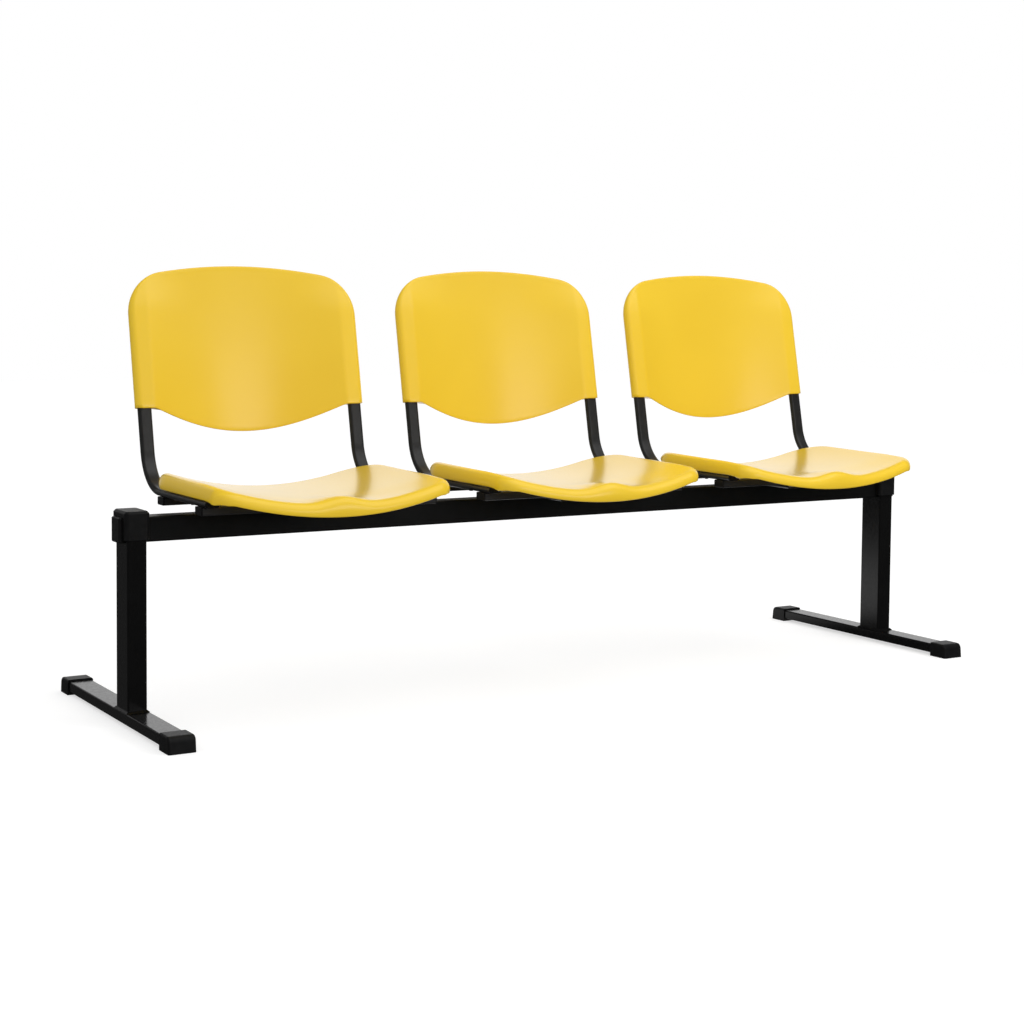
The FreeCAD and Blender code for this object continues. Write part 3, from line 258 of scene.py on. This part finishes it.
def grain(tree, size, detail):
    # Noise with features about this many metres across
    place = tree.nodes.new("ShaderNodeTexCoord")
    noise = tree.nodes.new("ShaderNodeTexNoise")
    noise.inputs["Scale"].default_value = 1 / size
    noise.inputs["Detail"].default_value = detail
    tree.links.new(place.outputs["Object"], noise.inputs["Vector"])
    return noise


def two_tone(tree, noise, low, high, socket):
    ramp = tree.nodes.new("ShaderNodeValToRGB")
    ramp.color_ramp.elements[0].position = 0.3
    ramp.color_ramp.elements[0].color = (*low, 1)
    ramp.color_ramp.elements[1].position = 0.7
    ramp.color_ramp.elements[1].color = (*high, 1)
    tree.links.new(noise.outputs["Fac"], ramp.inputs["Fac"])
    tree.links.new(ramp.outputs["Color"], socket)


def between(tree, noise, low, high, socket):
    span = tree.nodes.new("ShaderNodeMapRange")
    span.inputs["From Min"].default_value = 0.3
    span.inputs["From Max"].default_value = 0.7
    span.inputs["To Min"].default_value = low
    span.inputs["To Max"].default_value = high
    tree.links.new(noise.outputs["Fac"], span.inputs["Value"])
    tree.links.new(span.outputs["Result"], socket)


def rough_skin(tree, shader, noise, strength, depth):
    bump = tree.nodes.new("ShaderNodeBump")
    bump.inputs["Strength"].default_value = strength
    bump.inputs["Distance"].default_value = depth
    tree.links.new(noise.outputs["Fac"], bump.inputs["Height"])
    tree.links.new(bump.outputs["Normal"], shader.inputs["Normal"])


print("noise features run from 0.8 mm to 140 mm")

# %% [markdown]
# The shells are injection-moulded polypropylene: one deep yellow all through, with a very fine
# grain from the mould that softens the shine. A thin coat layer over a duller base gives the two
# kinds of shine that the plastic has, a broad sheen and a tighter one on top.


# %% Yellow plastic
def yellow_plastic():
    finish, tree, shader = new_finish("yellow moulded plastic")
    colour = shader.inputs["Base Color"]
    two_tone(tree, grain(tree, 0.14, 1), (0.90, 0.59, 0.010), (0.92, 0.61, 0.013), colour)
    between(tree, grain(tree, 0.004, 2), 0.3, 0.34, shader.inputs["Roughness"])
    rough_skin(tree, shader, grain(tree, 0.0012, 1), 0.02, 0.00005)
    shader.inputs["IOR"].default_value = 1.5
    shader.inputs["Coat Weight"].default_value = 1
    shader.inputs["Coat Roughness"].default_value = 0.25
    return finish


shell_finish = yellow_plastic()
print("made", shell_finish.name)

# %% [markdown]
# The steel is powder coated: the powder melts into a black skin like fine orange peel. The oval
# tubes, the beam and the legs are coated alike but differ a little in shine, so one function makes
# all three with its own darkness, dullness and strength of reflection.


# %% Black coats
def black_coat(name, low, high, dull, mirror):
    finish, tree, shader = new_finish(name)
    two_tone(tree, grain(tree, 0.03, 3), (low,) * 3, (high,) * 3, shader.inputs["Base Color"])
    between(tree, grain(tree, 0.006, 2), dull - 0.05, dull + 0.06, shader.inputs["Roughness"])
    rough_skin(tree, shader, grain(tree, 0.0016, 1), 0.05, 0.0002)
    shader.inputs["Specular IOR Level"].default_value = mirror
    return finish


tube_finish = black_coat("black coat on oval tubes", 0.012, 0.017, 0.34, 0.9)
beam_finish = black_coat("black coat on the beam", 0.003, 0.005, 0.4, 0.3)
leg_finish = black_coat("black coat on the legs", 0.003, 0.004, 0.2, 0.35)
print("made", tube_finish.name + ",", beam_finish.name, "and", leg_finish.name)

# %% [markdown]
# Caps, plugs and covers are moulded in black plastic with a dull texture from the mould. Bolts and
# screws are zinc plated: a metal whose grey varies from grain to grain.


# %% Black plastic and zinc
def black_plastic():
    finish, tree, shader = new_finish("black moulded plastic")
    colour = shader.inputs["Base Color"]
    two_tone(tree, grain(tree, 0.012, 3), (0.004, 0.004, 0.0045), (0.007, 0.007, 0.0075), colour)
    between(tree, grain(tree, 0.003, 2), 0.42, 0.56, shader.inputs["Roughness"])
    rough_skin(tree, shader, grain(tree, 0.0008, 1), 0.2, 0.0002)
    shader.inputs["Specular IOR Level"].default_value = 0.35
    return finish


def zinc_plate():
    finish, tree, shader = new_finish("zinc plate")
    colour = shader.inputs["Base Color"]
    two_tone(tree, grain(tree, 0.004, 3), (0.32, 0.32, 0.33), (0.46, 0.46, 0.46), colour)
    between(tree, grain(tree, 0.001, 2), 0.28, 0.44, shader.inputs["Roughness"])
    shader.inputs["Metallic"].default_value = 1
    return finish


trim_finish = black_plastic()
bolt_finish = zinc_plate()
print("made", trim_finish.name, "and", bolt_finish.name)

# %% [markdown]
# Each CAD piece names the kind of surface it has, its slot. The finishes are handed out by slot, so
# a piece never has to be picked by hand.

# %% Hand out the finishes
FINISHES = {
    "shell": shell_finish,
    "frame": tube_finish,
    "beam": beam_finish,
    "leg": leg_finish,
    "trim": trim_finish,
    "bolt": bolt_finish,
}
slot_of = {part["node"]: part["material_slot"] for part in frame["record"]["subparts"]}
for name, node in frame["nodes"].items():
    node.data.materials.clear()
    node.data.materials.append(FINISHES[slot_of[name]])
print("finishes:", ", ".join(FINISHES))

# %% [markdown]
# The seat is one moulding: a shallow dish, two thigh hollows with a low pommel between them, a rim
# that rolls over, and a skirt that hides the tubes. It could be sculpted, or pulled out of a plane
# with subdivision. It is drawn as profiles instead, because then every size is a number. They run
# from the middle of the dish out over the rim, round the hem and back under to the middle, one
# profile for each station round the outline. That puts the mesh lines along the rim, where the
# light bends.

# %% Seat sizes
MM = 0.001
tube_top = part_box("tube_plugs_middle")[1].z
SEAT_HALF = 232 * MM
SEAT_FRONT = 228 * MM
SEAT_CHEEK = 203 * MM
SEAT_REAR = 140 * MM
SEAT_FRONT_CORNER = 42 * MM
SEAT_REAR_CORNER = 80 * MM
SEAT_WALL = 4 * MM
SEAT_RIM = 13 * MM
SEAT_NOSE = 16 * MM
NOSE_TUCK = 3 * MM
NOSE_DROP = 3 * MM
SKIRT_FLARE = 2 * MM
SEAT_SINK = 5.5 * MM
SEAT_MIDDLE = 40 * MM
DISH_REAR = 42 * MM
DISH_FRONT = 35 * MM
DISH_HALF = 225.7 * MM
THIGH_DIP = 3 * MM
POMMEL = 14 * MM
POMMEL_WIDE = 43 * MM
POMMEL_FULL = 22 * MM
POMMEL_REACH = 118 * MM
SKIRT_SIDE = 30 * MM
SKIRT_LIFT = 0.6 * MM
SKIRT_SOFT = 2 * MM
SKIRT_REAR = 11.5 * MM
SKIRT_EASE = math.radians(25)
LIP_DROP = 31 * MM
LIP_RISE = 36 * MM
TUBE_FRONT = 153 * MM
TUBE_OFFSET = 218 * MM
BOSS_SPOTS = (-60 * MM, 20 * MM)
BOSS_SIZE = 12 * MM
BORE_SIZE = 5.6 * MM


def smooth(value, low, high):
    q = min(1.0, max(0.0, (value - low) / (high - low)))
    return q * q * (3 - 2 * q)


def seat_height(x, y):
    share = (SEAT_REAR - y) / (SEAT_REAR + SEAT_FRONT)
    dish = DISH_FRONT + (DISH_REAR - DISH_FRONT) * (1 - share) ** 2
    rise = 1 - smooth(y + SEAT_FRONT, POMMEL_FULL, POMMEL_REACH)
    bump = math.exp(-(x / POMMEL_WIDE) ** 2)
    return dish * (x / DISH_HALF) ** 2 + rise * (POMMEL * bump - THIGH_DIP) - SEAT_SINK


print("seat height in the middle:", round(tube_top + seat_height(0, 0), 4))


# %% Seat outline
def seat_outline():
    # Half of the outline from the middle of the rear edge, then its mirror image
    bow = SEAT_FRONT - SEAT_CHEEK
    arc = (SEAT_HALF ** 2 + bow ** 2) / (2 * bow)
    arc_y = arc - SEAT_FRONT
    corner_x = SEAT_HALF - SEAT_FRONT_CORNER
    corner_y = arc_y - math.sqrt((arc - SEAT_FRONT_CORNER) ** 2 - corner_x ** 2)
    swing = math.degrees(math.acos(corner_x / (arc - SEAT_FRONT_CORNER)))
    rear_x = SEAT_HALF - SEAT_REAR_CORNER
    rear_y = SEAT_REAR - SEAT_REAR_CORNER
    half = [(rear_x * k / 9, SEAT_REAR, 90) for k in range(9)]
    for k in range(13):
        a = math.radians(90 - 7.5 * k)
        x = rear_x + SEAT_REAR_CORNER * math.cos(a)
        y = rear_y + SEAT_REAR_CORNER * math.sin(a)
        half.append((x, y, 90 - 7.5 * k))
    for k in range(1, 12):
        half.append((SEAT_HALF, rear_y + (corner_y - rear_y) * k / 12, 0))
    for k in range(13):
        a = math.radians(-swing * k / 12)
        x = corner_x + SEAT_FRONT_CORNER * math.cos(a)
        y = corner_y + SEAT_FRONT_CORNER * math.sin(a)
        half.append((x, y, -swing * k / 12))
    for k in range(1, 17):
        angle = -swing + (swing - 90) * k / 16
        a = math.radians(angle)
        half.append((arc * math.cos(a), arc_y + arc * math.sin(a), angle))
    stations = []
    for x, y, angle in half:
        a = math.radians(angle)
        stations.append((Vector((x, y, 0)), Vector((math.cos(a), math.sin(a), 0))))
    for point, out in reversed(stations[1:-1]):
        stations.append((Vector((-point.x, point.y, 0)), Vector((-out.x, out.y, 0))))
    return stations


print("stations round the seat:", len(seat_outline()))


# %% Seat profiles
def rim_core(point, out):
    # Centre and radius of the rolled rim at one station, and the dish's slope where they meet
    nose = smooth(-out.y, 0, 0.4)
    rim = SEAT_RIM + (SEAT_NOSE - SEAT_RIM) * nose
    flare = SKIRT_FLARE - NOSE_TUCK * nose
    core = point - out * (rim + flare)
    step = 0.5 * MM
    slope = 0.0
    for _ in range(5):
        spot = core - out * (rim * math.sin(slope))
        near = seat_height(spot.x - out.x * step, spot.y - out.y * step)
        far = seat_height(spot.x + out.x * step, spot.y + out.y * step)
        slope = math.atan((far - near) / (2 * step))
    core.z = seat_height(spot.x, spot.y) - rim * math.cos(slope)
    return core, spot, slope, rim, rim + flare


def hem_height(point, out, crest):
    # The skirt hangs from the crest, but along the sides it stays just above the tubes
    depth = SKIRT_SIDE + (SKIRT_REAR - SKIRT_SIDE) * smooth(out.y, 0, 0.7)
    lip = -LIP_DROP + LIP_RISE * (point.x / SEAT_HALF) ** 2
    front = smooth(-out.y, 0, 0.9)
    side = crest - depth
    along = (1 - smooth(out.y, 0.3, 0.6)) * (1 - smooth(-point.y, TUBE_FRONT, SEAT_CHEEK))
    side += along * (SKIRT_LIFT - side + math.hypot(side - SKIRT_LIFT, SKIRT_SOFT)) / 2
    corner = smooth(-out.y, 0, 0.4) * (1 - smooth(-out.y, 0.85, 1))
    return (1 - front) * side + front * lip - NOSE_DROP * corner


def dish_points(spot):
    # From the middle of the dish almost to the rim, above and one wall below
    middle = Vector((0, -SEAT_MIDDLE, 0))
    step = 0.5 * MM
    above = []
    below = []
    for q in (0, 0.12, 0.26, 0.4, 0.53, 0.65, 0.76, 0.86, 0.94):
        p = middle + (spot - middle) * q
        tilt_x = (seat_height(p.x + step, p.y) - seat_height(p.x - step, p.y)) / (2 * step)
        tilt_y = (seat_height(p.x, p.y + step) - seat_height(p.x, p.y - step)) / (2 * step)
        p.z = seat_height(p.x, p.y)
        above.append(p)
        below.append(p - Vector((-tilt_x, -tilt_y, 1)).normalized() * SEAT_WALL)
    return above, below


def facing(out, angle):
    # The way a skin faces when it is tipped up by this angle from straight out
    return out * math.cos(angle) + Vector((0, 0, math.sin(angle)))


def falling(out, angle):
    # The way down along that skin
    return out * math.sin(angle) - Vector((0, 0, math.cos(angle)))


def seat_profile(point, out):
    core, spot, slope, rim, inward = rim_core(point, out)
    above, below = dish_points(spot)
    drop = hem_height(point, out, core.z + rim) - core.z
    lean = math.atan2(drop, inward) + math.acos(rim / math.hypot(inward, drop)) + SKIRT_EASE
    for k in range(9):
        a = (math.pi / 2 + slope) * (1 - k / 8) + lean * k / 8
        way = facing(out, a)
        above.append(core + way * rim)
        below.append(core + way * (rim - SEAT_WALL))
    hem = Vector((point.x, point.y, core.z + drop))
    last = above[-1]
    fall = (hem - last).normalized()
    for _ in range(4):
        # The skirt goes on bending, but more gently, and ends at the hem
        run = hem - fall * (SEAT_WALL / 2) - last
        bend = lean - math.atan2(run.dot(out), -run.z)
        fall = falling(out, lean - 2 * bend)
    for q in (0.2, 0.45, 0.7, 0.9):
        reach = run.length * math.sin(q * bend) / math.sin(bend)
        above.append(last + falling(out, lean - q * bend) * reach)
        below.append(above[-1] - facing(out, lean - 2 * q * bend) * SEAT_WALL)
    way = facing(out, lean - 2 * bend)
    bottom = hem - fall * (SEAT_WALL / 2) - way * (SEAT_WALL / 2)
    edge = []
    for k in range(7):
        a = math.pi * k / 6
        edge.append(bottom + (way * math.cos(a) + fall * math.sin(a)) * (SEAT_WALL / 2))
    return above + edge + list(reversed(below))


sample = seat_profile(*seat_outline()[0])
print("points in one seat profile:", len(sample))


# %% [markdown]
# The profiles become one closed skin. The first and last points of all profiles are the same two
# points, one above and one below, so these ends close with a fan of triangles.


# %% Seat shells
def fan_skin(name, profiles):
    mesh = bmesh.new()
    rings = len(profiles[0])
    top = mesh.verts.new(profiles[0][0])
    low = mesh.verts.new(profiles[0][-1])
    grid = [[mesh.verts.new(p) for p in profile[1:-1]] for profile in profiles]
    count = len(grid)
    for i in range(count):
        here = grid[i]
        after = grid[(i + 1) % count]
        mesh.faces.new((top, after[0], here[0]))
        mesh.faces.new((low, here[-1], after[-1]))
        for j in range(rings - 3):
            mesh.faces.new((here[j], after[j], after[j + 1], here[j + 1]))
    bmesh.ops.recalc_face_normals(mesh, faces=mesh.faces)
    data = bpy.data.meshes.new(name)
    mesh.to_mesh(data)
    mesh.free()
    data.shade_smooth()
    return data


def show(name, data, node, slot):
    piece = bpy.data.objects.new(name, data)
    bpy.context.scene.collection.objects.link(piece)
    data.materials.clear()
    data.materials.append(FINISHES[slot])
    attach(piece, "root")
    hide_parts(node)
    return piece


def middle_x(node):
    low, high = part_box(node)
    return (low.x + high.x) / 2


SEATS = ("left", "middle", "right")
seat_skin = fan_skin("seat skin", [seat_profile(point, out) for point, out in seat_outline()])
print("seat skin faces:", len(seat_skin.polygons))

# %% [markdown]
# Under the shell stand four round bosses. They rest on the tubes, and a screw goes up through each
# tube into the bore of its boss. A boss could be a cylinder with a hole cut by a modifier. Here a
# short profile is turned round its axis, which gives clean rings and soft edges.


# %% Bosses and the three seats
def add_bosses(data):
    mesh = bmesh.new()
    mesh.from_mesh(data)
    count = 24
    bore = BORE_SIZE / 2
    for side in (-1, 1):
        for y in BOSS_SPOTS:
            top = seat_height(TUBE_OFFSET, y) - SEAT_WALL
            soft = 0.6 * MM
            outer = BOSS_SIZE / 2
            turned = [(bore, top - 1 * MM), (bore, soft), (bore + soft, 0), (outer - soft, 0)]
            turned += [(outer, soft), (outer, top * 0.6), (outer * 0.98, top)]
            rings = []
            for radius, z in turned:
                ring = []
                for k in range(count):
                    a = 2 * math.pi * k / count
                    spot = (side * TUBE_OFFSET + radius * math.cos(a), y + radius * math.sin(a), z)
                    ring.append(mesh.verts.new(spot))
                rings.append(ring)
            for a, b in zip(rings, rings[1:]):
                for k in range(count):
                    n = (k + 1) % count
                    mesh.faces.new((a[k], a[n], b[n], b[k]))
            mesh.faces.new(rings[0])
            mesh.faces.new(list(reversed(rings[-1])))
    bmesh.ops.recalc_face_normals(mesh, faces=mesh.faces)
    mesh.to_mesh(data)
    mesh.free()
    data.shade_smooth()


add_bosses(seat_skin)
for seat in SEATS:
    node = "seat_shell_" + seat
    data = seat_skin.copy()
    data.transform(Matrix.Translation((middle_x(node), LEG_Y, tube_top)))
    show("seat_" + seat, data, node, "shell")
print("seat skin faces with bosses:", len(seat_skin.polygons))

# %% [markdown]
# The back is a curved panel between two flat sleeves that slide down over the tubes. Its edges are
# fully rounded at the sides and top. It could be a bent plane with a thickness modifier, but the
# sleeves are thicker than the panel, so front and rear need their own shapes. A patch stretched
# between the four edge curves carries both, and a rounded strip joins them along the sides and the
# top.

# %% Back sizes
TUBE_WIDE = 27 * MM
TUBE_THICK = 12 * MM
FIT_GAP = 0.3 * MM
SLEEVE_WALL = 4.2 * MM
SLEEVE_DEPTH = 172 * MM
BACK_SET = 187 * MM
BACK_RISE = 148 * MM
BACK_TILT = math.radians(11.6)
BACK_CROWN = 279 * MM
BACK_SHOULDER = 246.5 * MM
BACK_CORNER = 85 * MM
BACK_TONGUE = 43 * MM
BACK_FOOT = 37 * MM
BACK_WALL = 3.5 * MM
BACK_HOLLOW_LOW = 38 * MM
BACK_HOLLOW_HIGH = 12 * MM
BACK_CREASE = 5.5 * MM
BACK_STEP = 15 * MM
BACK_ROOF = 12 * MM
BACK_EDGE = 5.4 * MM
BACK_HEM = 1.2 * MM
SLEEVE_HALF = TUBE_THICK / 2 + FIT_GAP + SLEEVE_WALL
BACK_HALF = TUBE_OFFSET + TUBE_WIDE / 2 + FIT_GAP + SLEEVE_WALL
SLEEVE_INNER = TUBE_OFFSET - TUBE_WIDE / 2 - FIT_GAP - SLEEVE_WALL


def sleeve_thick(up):
    thin = smooth(up, SLEEVE_DEPTH + BACK_ROOF, BACK_CROWN)
    return SLEEVE_HALF + (BACK_EDGE / 2 - SLEEVE_HALF) * thin


def back_depths(x, up):
    # How far the front and the rear surface lie behind the plane of the tubes
    share = (up + BACK_TONGUE) / (BACK_CROWN + BACK_TONGUE)
    hollow = BACK_HOLLOW_LOW + (BACK_HOLLOW_HIGH - BACK_HOLLOW_LOW) * share
    thick = sleeve_thick(up)
    sweep = hollow + thick - BACK_WALL / 2
    past = SLEEVE_INNER + BACK_CREASE - abs(x)
    if past < 0:
        front = -thick
    elif past > 2 * BACK_CREASE:
        front = sweep * (1 - (x / SLEEVE_INNER) ** 2) - thick
    else:
        front = sweep / SLEEVE_INNER * past ** 2 / (2 * BACK_CREASE) - thick
    mix = smooth(abs(x), SLEEVE_INNER - BACK_STEP, SLEEVE_INNER)
    rear = (1 - mix) * (front + BACK_WALL) + mix * thick
    return front, rear


print("back is", round(2 * BACK_HALF, 4), "m wide")


# %% Back outline
def back_edge_right():
    # Points up the right side and half way round the corner, each with its way out
    corner_z, swing = back_arcs()[2:]
    points = [(BACK_HALF, corner_z * k / 24, 0) for k in range(24)]
    for k in range(11):
        points.append(corner_point(swing * 0.5 * k / 10, corner_z))
    return points


def back_edge_top():
    # Points from the middle of the left corner over the crown to the middle of the right corner
    arc, arc_z, corner_z, swing = back_arcs()
    points = [corner_point(swing * (0.5 + 0.5 * k / 20), corner_z) for k in range(20)]
    for k in range(61):
        angle = swing + (math.pi / 2 - swing) * k / 60
        points.append((arc * math.cos(angle), arc_z + arc * math.sin(angle), angle))
    left = [(-x, z, math.pi - angle) for x, z, angle in points[:-1]]
    return left + list(reversed(points))


def back_arcs():
    sag = BACK_CROWN - BACK_SHOULDER
    arc = (BACK_HALF ** 2 + sag ** 2) / (2 * sag)
    arc_z = BACK_CROWN - arc
    corner_x = BACK_HALF - BACK_CORNER
    corner_z = arc_z + math.sqrt((arc - BACK_CORNER) ** 2 - corner_x ** 2)
    swing = math.acos(corner_x / (arc - BACK_CORNER))
    return arc, arc_z, corner_z, swing


def corner_point(angle, corner_z):
    x = BACK_HALF - BACK_CORNER + BACK_CORNER * math.cos(angle)
    return x, corner_z + BACK_CORNER * math.sin(angle), angle


def back_low(x):
    foot = BACK_HALF - BACK_FOOT
    share = min(1.0, abs(x) / foot)
    return -BACK_TONGUE * (1 - share * share) ** 1.1


print("points over the top:", len(back_edge_top()), "up one side:", len(back_edge_right()))


# %% [markdown]
# The patch blends its four edges: it adds the pairs of opposite edges and takes away the corners,
# which would otherwise count twice. Each patch point then gets its depth from the panel formula.


# %% Back shells
def inset(point):
    x, z, angle = point
    thick = sleeve_thick(z)
    return Vector((x - thick * math.cos(angle), z - thick * math.sin(angle)))


def back_patch():
    top = [inset(p) for p in back_edge_top()]
    side = [inset(p) for p in back_edge_right()]
    across = len(top)
    upward = len(side)
    low_x = side[0].x
    low = []
    for i in range(across):
        x = low_x * (2 * i / (across - 1) - 1)
        low.append(Vector((x, back_low(x) + BACK_HEM)))
    side[0] = low[-1].copy()
    rows = []
    for j in range(upward):
        t = j / (upward - 1)
        right_point = side[j]
        left_point = Vector((-right_point.x, right_point.y))
        row = []
        for i in range(across):
            s = i / (across - 1)
            point = low[i] * (1 - t) + top[i] * t + left_point * (1 - s) + right_point * s
            point -= low[0] * (1 - s) * (1 - t) + low[-1] * s * (1 - t)
            point -= top[0] * (1 - s) * t + top[-1] * s * t
            row.append(point)
        rows.append(row)
    return rows


def rim_of(grid):
    # The right side upwards, the top from right to left, and the left side downwards
    right_side = [row[-1] for row in grid[:-1]]
    left_side = [row[0] for row in reversed(grid[:-1])]
    return right_side + list(reversed(grid[-1])) + left_side


def back_skin(name):
    mesh = bmesh.new()
    rows = back_patch()
    front = []
    rear = []
    for row in rows:
        depths = [back_depths(p.x, p.y) for p in row]
        front.append([mesh.verts.new((p.x, d[0], p.y)) for p, d in zip(row, depths)])
        rear.append([mesh.verts.new((p.x, d[1], p.y)) for p, d in zip(row, depths)])
    for grid in (front, rear):
        for a, b in zip(grid, grid[1:]):
            for i in range(len(a) - 1):
                mesh.faces.new((a[i], a[i + 1], b[i + 1], b[i]))
    right_edge = back_edge_right()
    top_edge = back_edge_top()
    rim_points = right_edge[:-1] + list(reversed(top_edge))
    rim_points += [(-x, z, math.pi - angle) for x, z, angle in reversed(right_edge[:-1])]
    ladder = []
    for (x, z, angle), a, b in zip(rim_points, rim_of(front), rim_of(rear)):
        reach = sleeve_thick(z)
        depth = (a.co.y + b.co.y) / 2
        half = (b.co.y - a.co.y) / 2
        rung = [a]
        for k in range(1, 8):
            turn = math.pi * k / 8
            out = reach * math.sin(turn)
            spot_x = a.co.x + out * math.cos(angle)
            spot_z = a.co.z + out * math.sin(angle)
            rung.append(mesh.verts.new((spot_x, depth - half * math.cos(turn), spot_z)))
        ladder.append(rung + [b])
    for a, b in zip(ladder, ladder[1:]):
        for k in range(8):
            mesh.faces.new((a[k], a[k + 1], b[k + 1], b[k]))
    hem = []
    for a, b in zip(front[0], rear[0]):
        soft = BACK_HEM * 0.3
        drop = a.co.z - BACK_HEM
        spots = [(a.co.y + soft, drop + soft), (a.co.y + BACK_HEM, drop)]
        spots += [(b.co.y - BACK_HEM, drop), (b.co.y - soft, drop + soft)]
        hem.append([a] + [mesh.verts.new((a.co.x, y, z)) for y, z in spots] + [b])
    for a, b in zip(hem, hem[1:]):
        for k in range(5):
            mesh.faces.new((a[k], b[k], b[k + 1], a[k + 1]))
    for rung, strip in ((ladder[0], hem[-1]), (ladder[-1], hem[0])):
        mesh.faces.new(rung + list(reversed(strip[1:-1])))
    bmesh.ops.recalc_face_normals(mesh, faces=mesh.faces)
    data = bpy.data.meshes.new(name)
    mesh.to_mesh(data)
    mesh.free()
    data.shade_smooth()
    return data


tube_mid = tube_top - TUBE_THICK / 2
back_form = back_skin("back skin")
for seat in SEATS:
    node = "back_shell_" + seat
    data = back_form.copy()
    place = Matrix.Translation((middle_x(node), LEG_Y + BACK_SET, tube_mid + BACK_RISE))
    data.transform(place @ Matrix.Rotation(-BACK_TILT, 4, "X"))
    show("back_" + seat, data, node, "shell")
print("back skin faces:", len(back_form.polygons))

# %% [markdown]
# Last, the view settings stay plain so that colours come out as written.

# %% Finish
bpy.context.scene.view_settings.view_transform = "Standard"
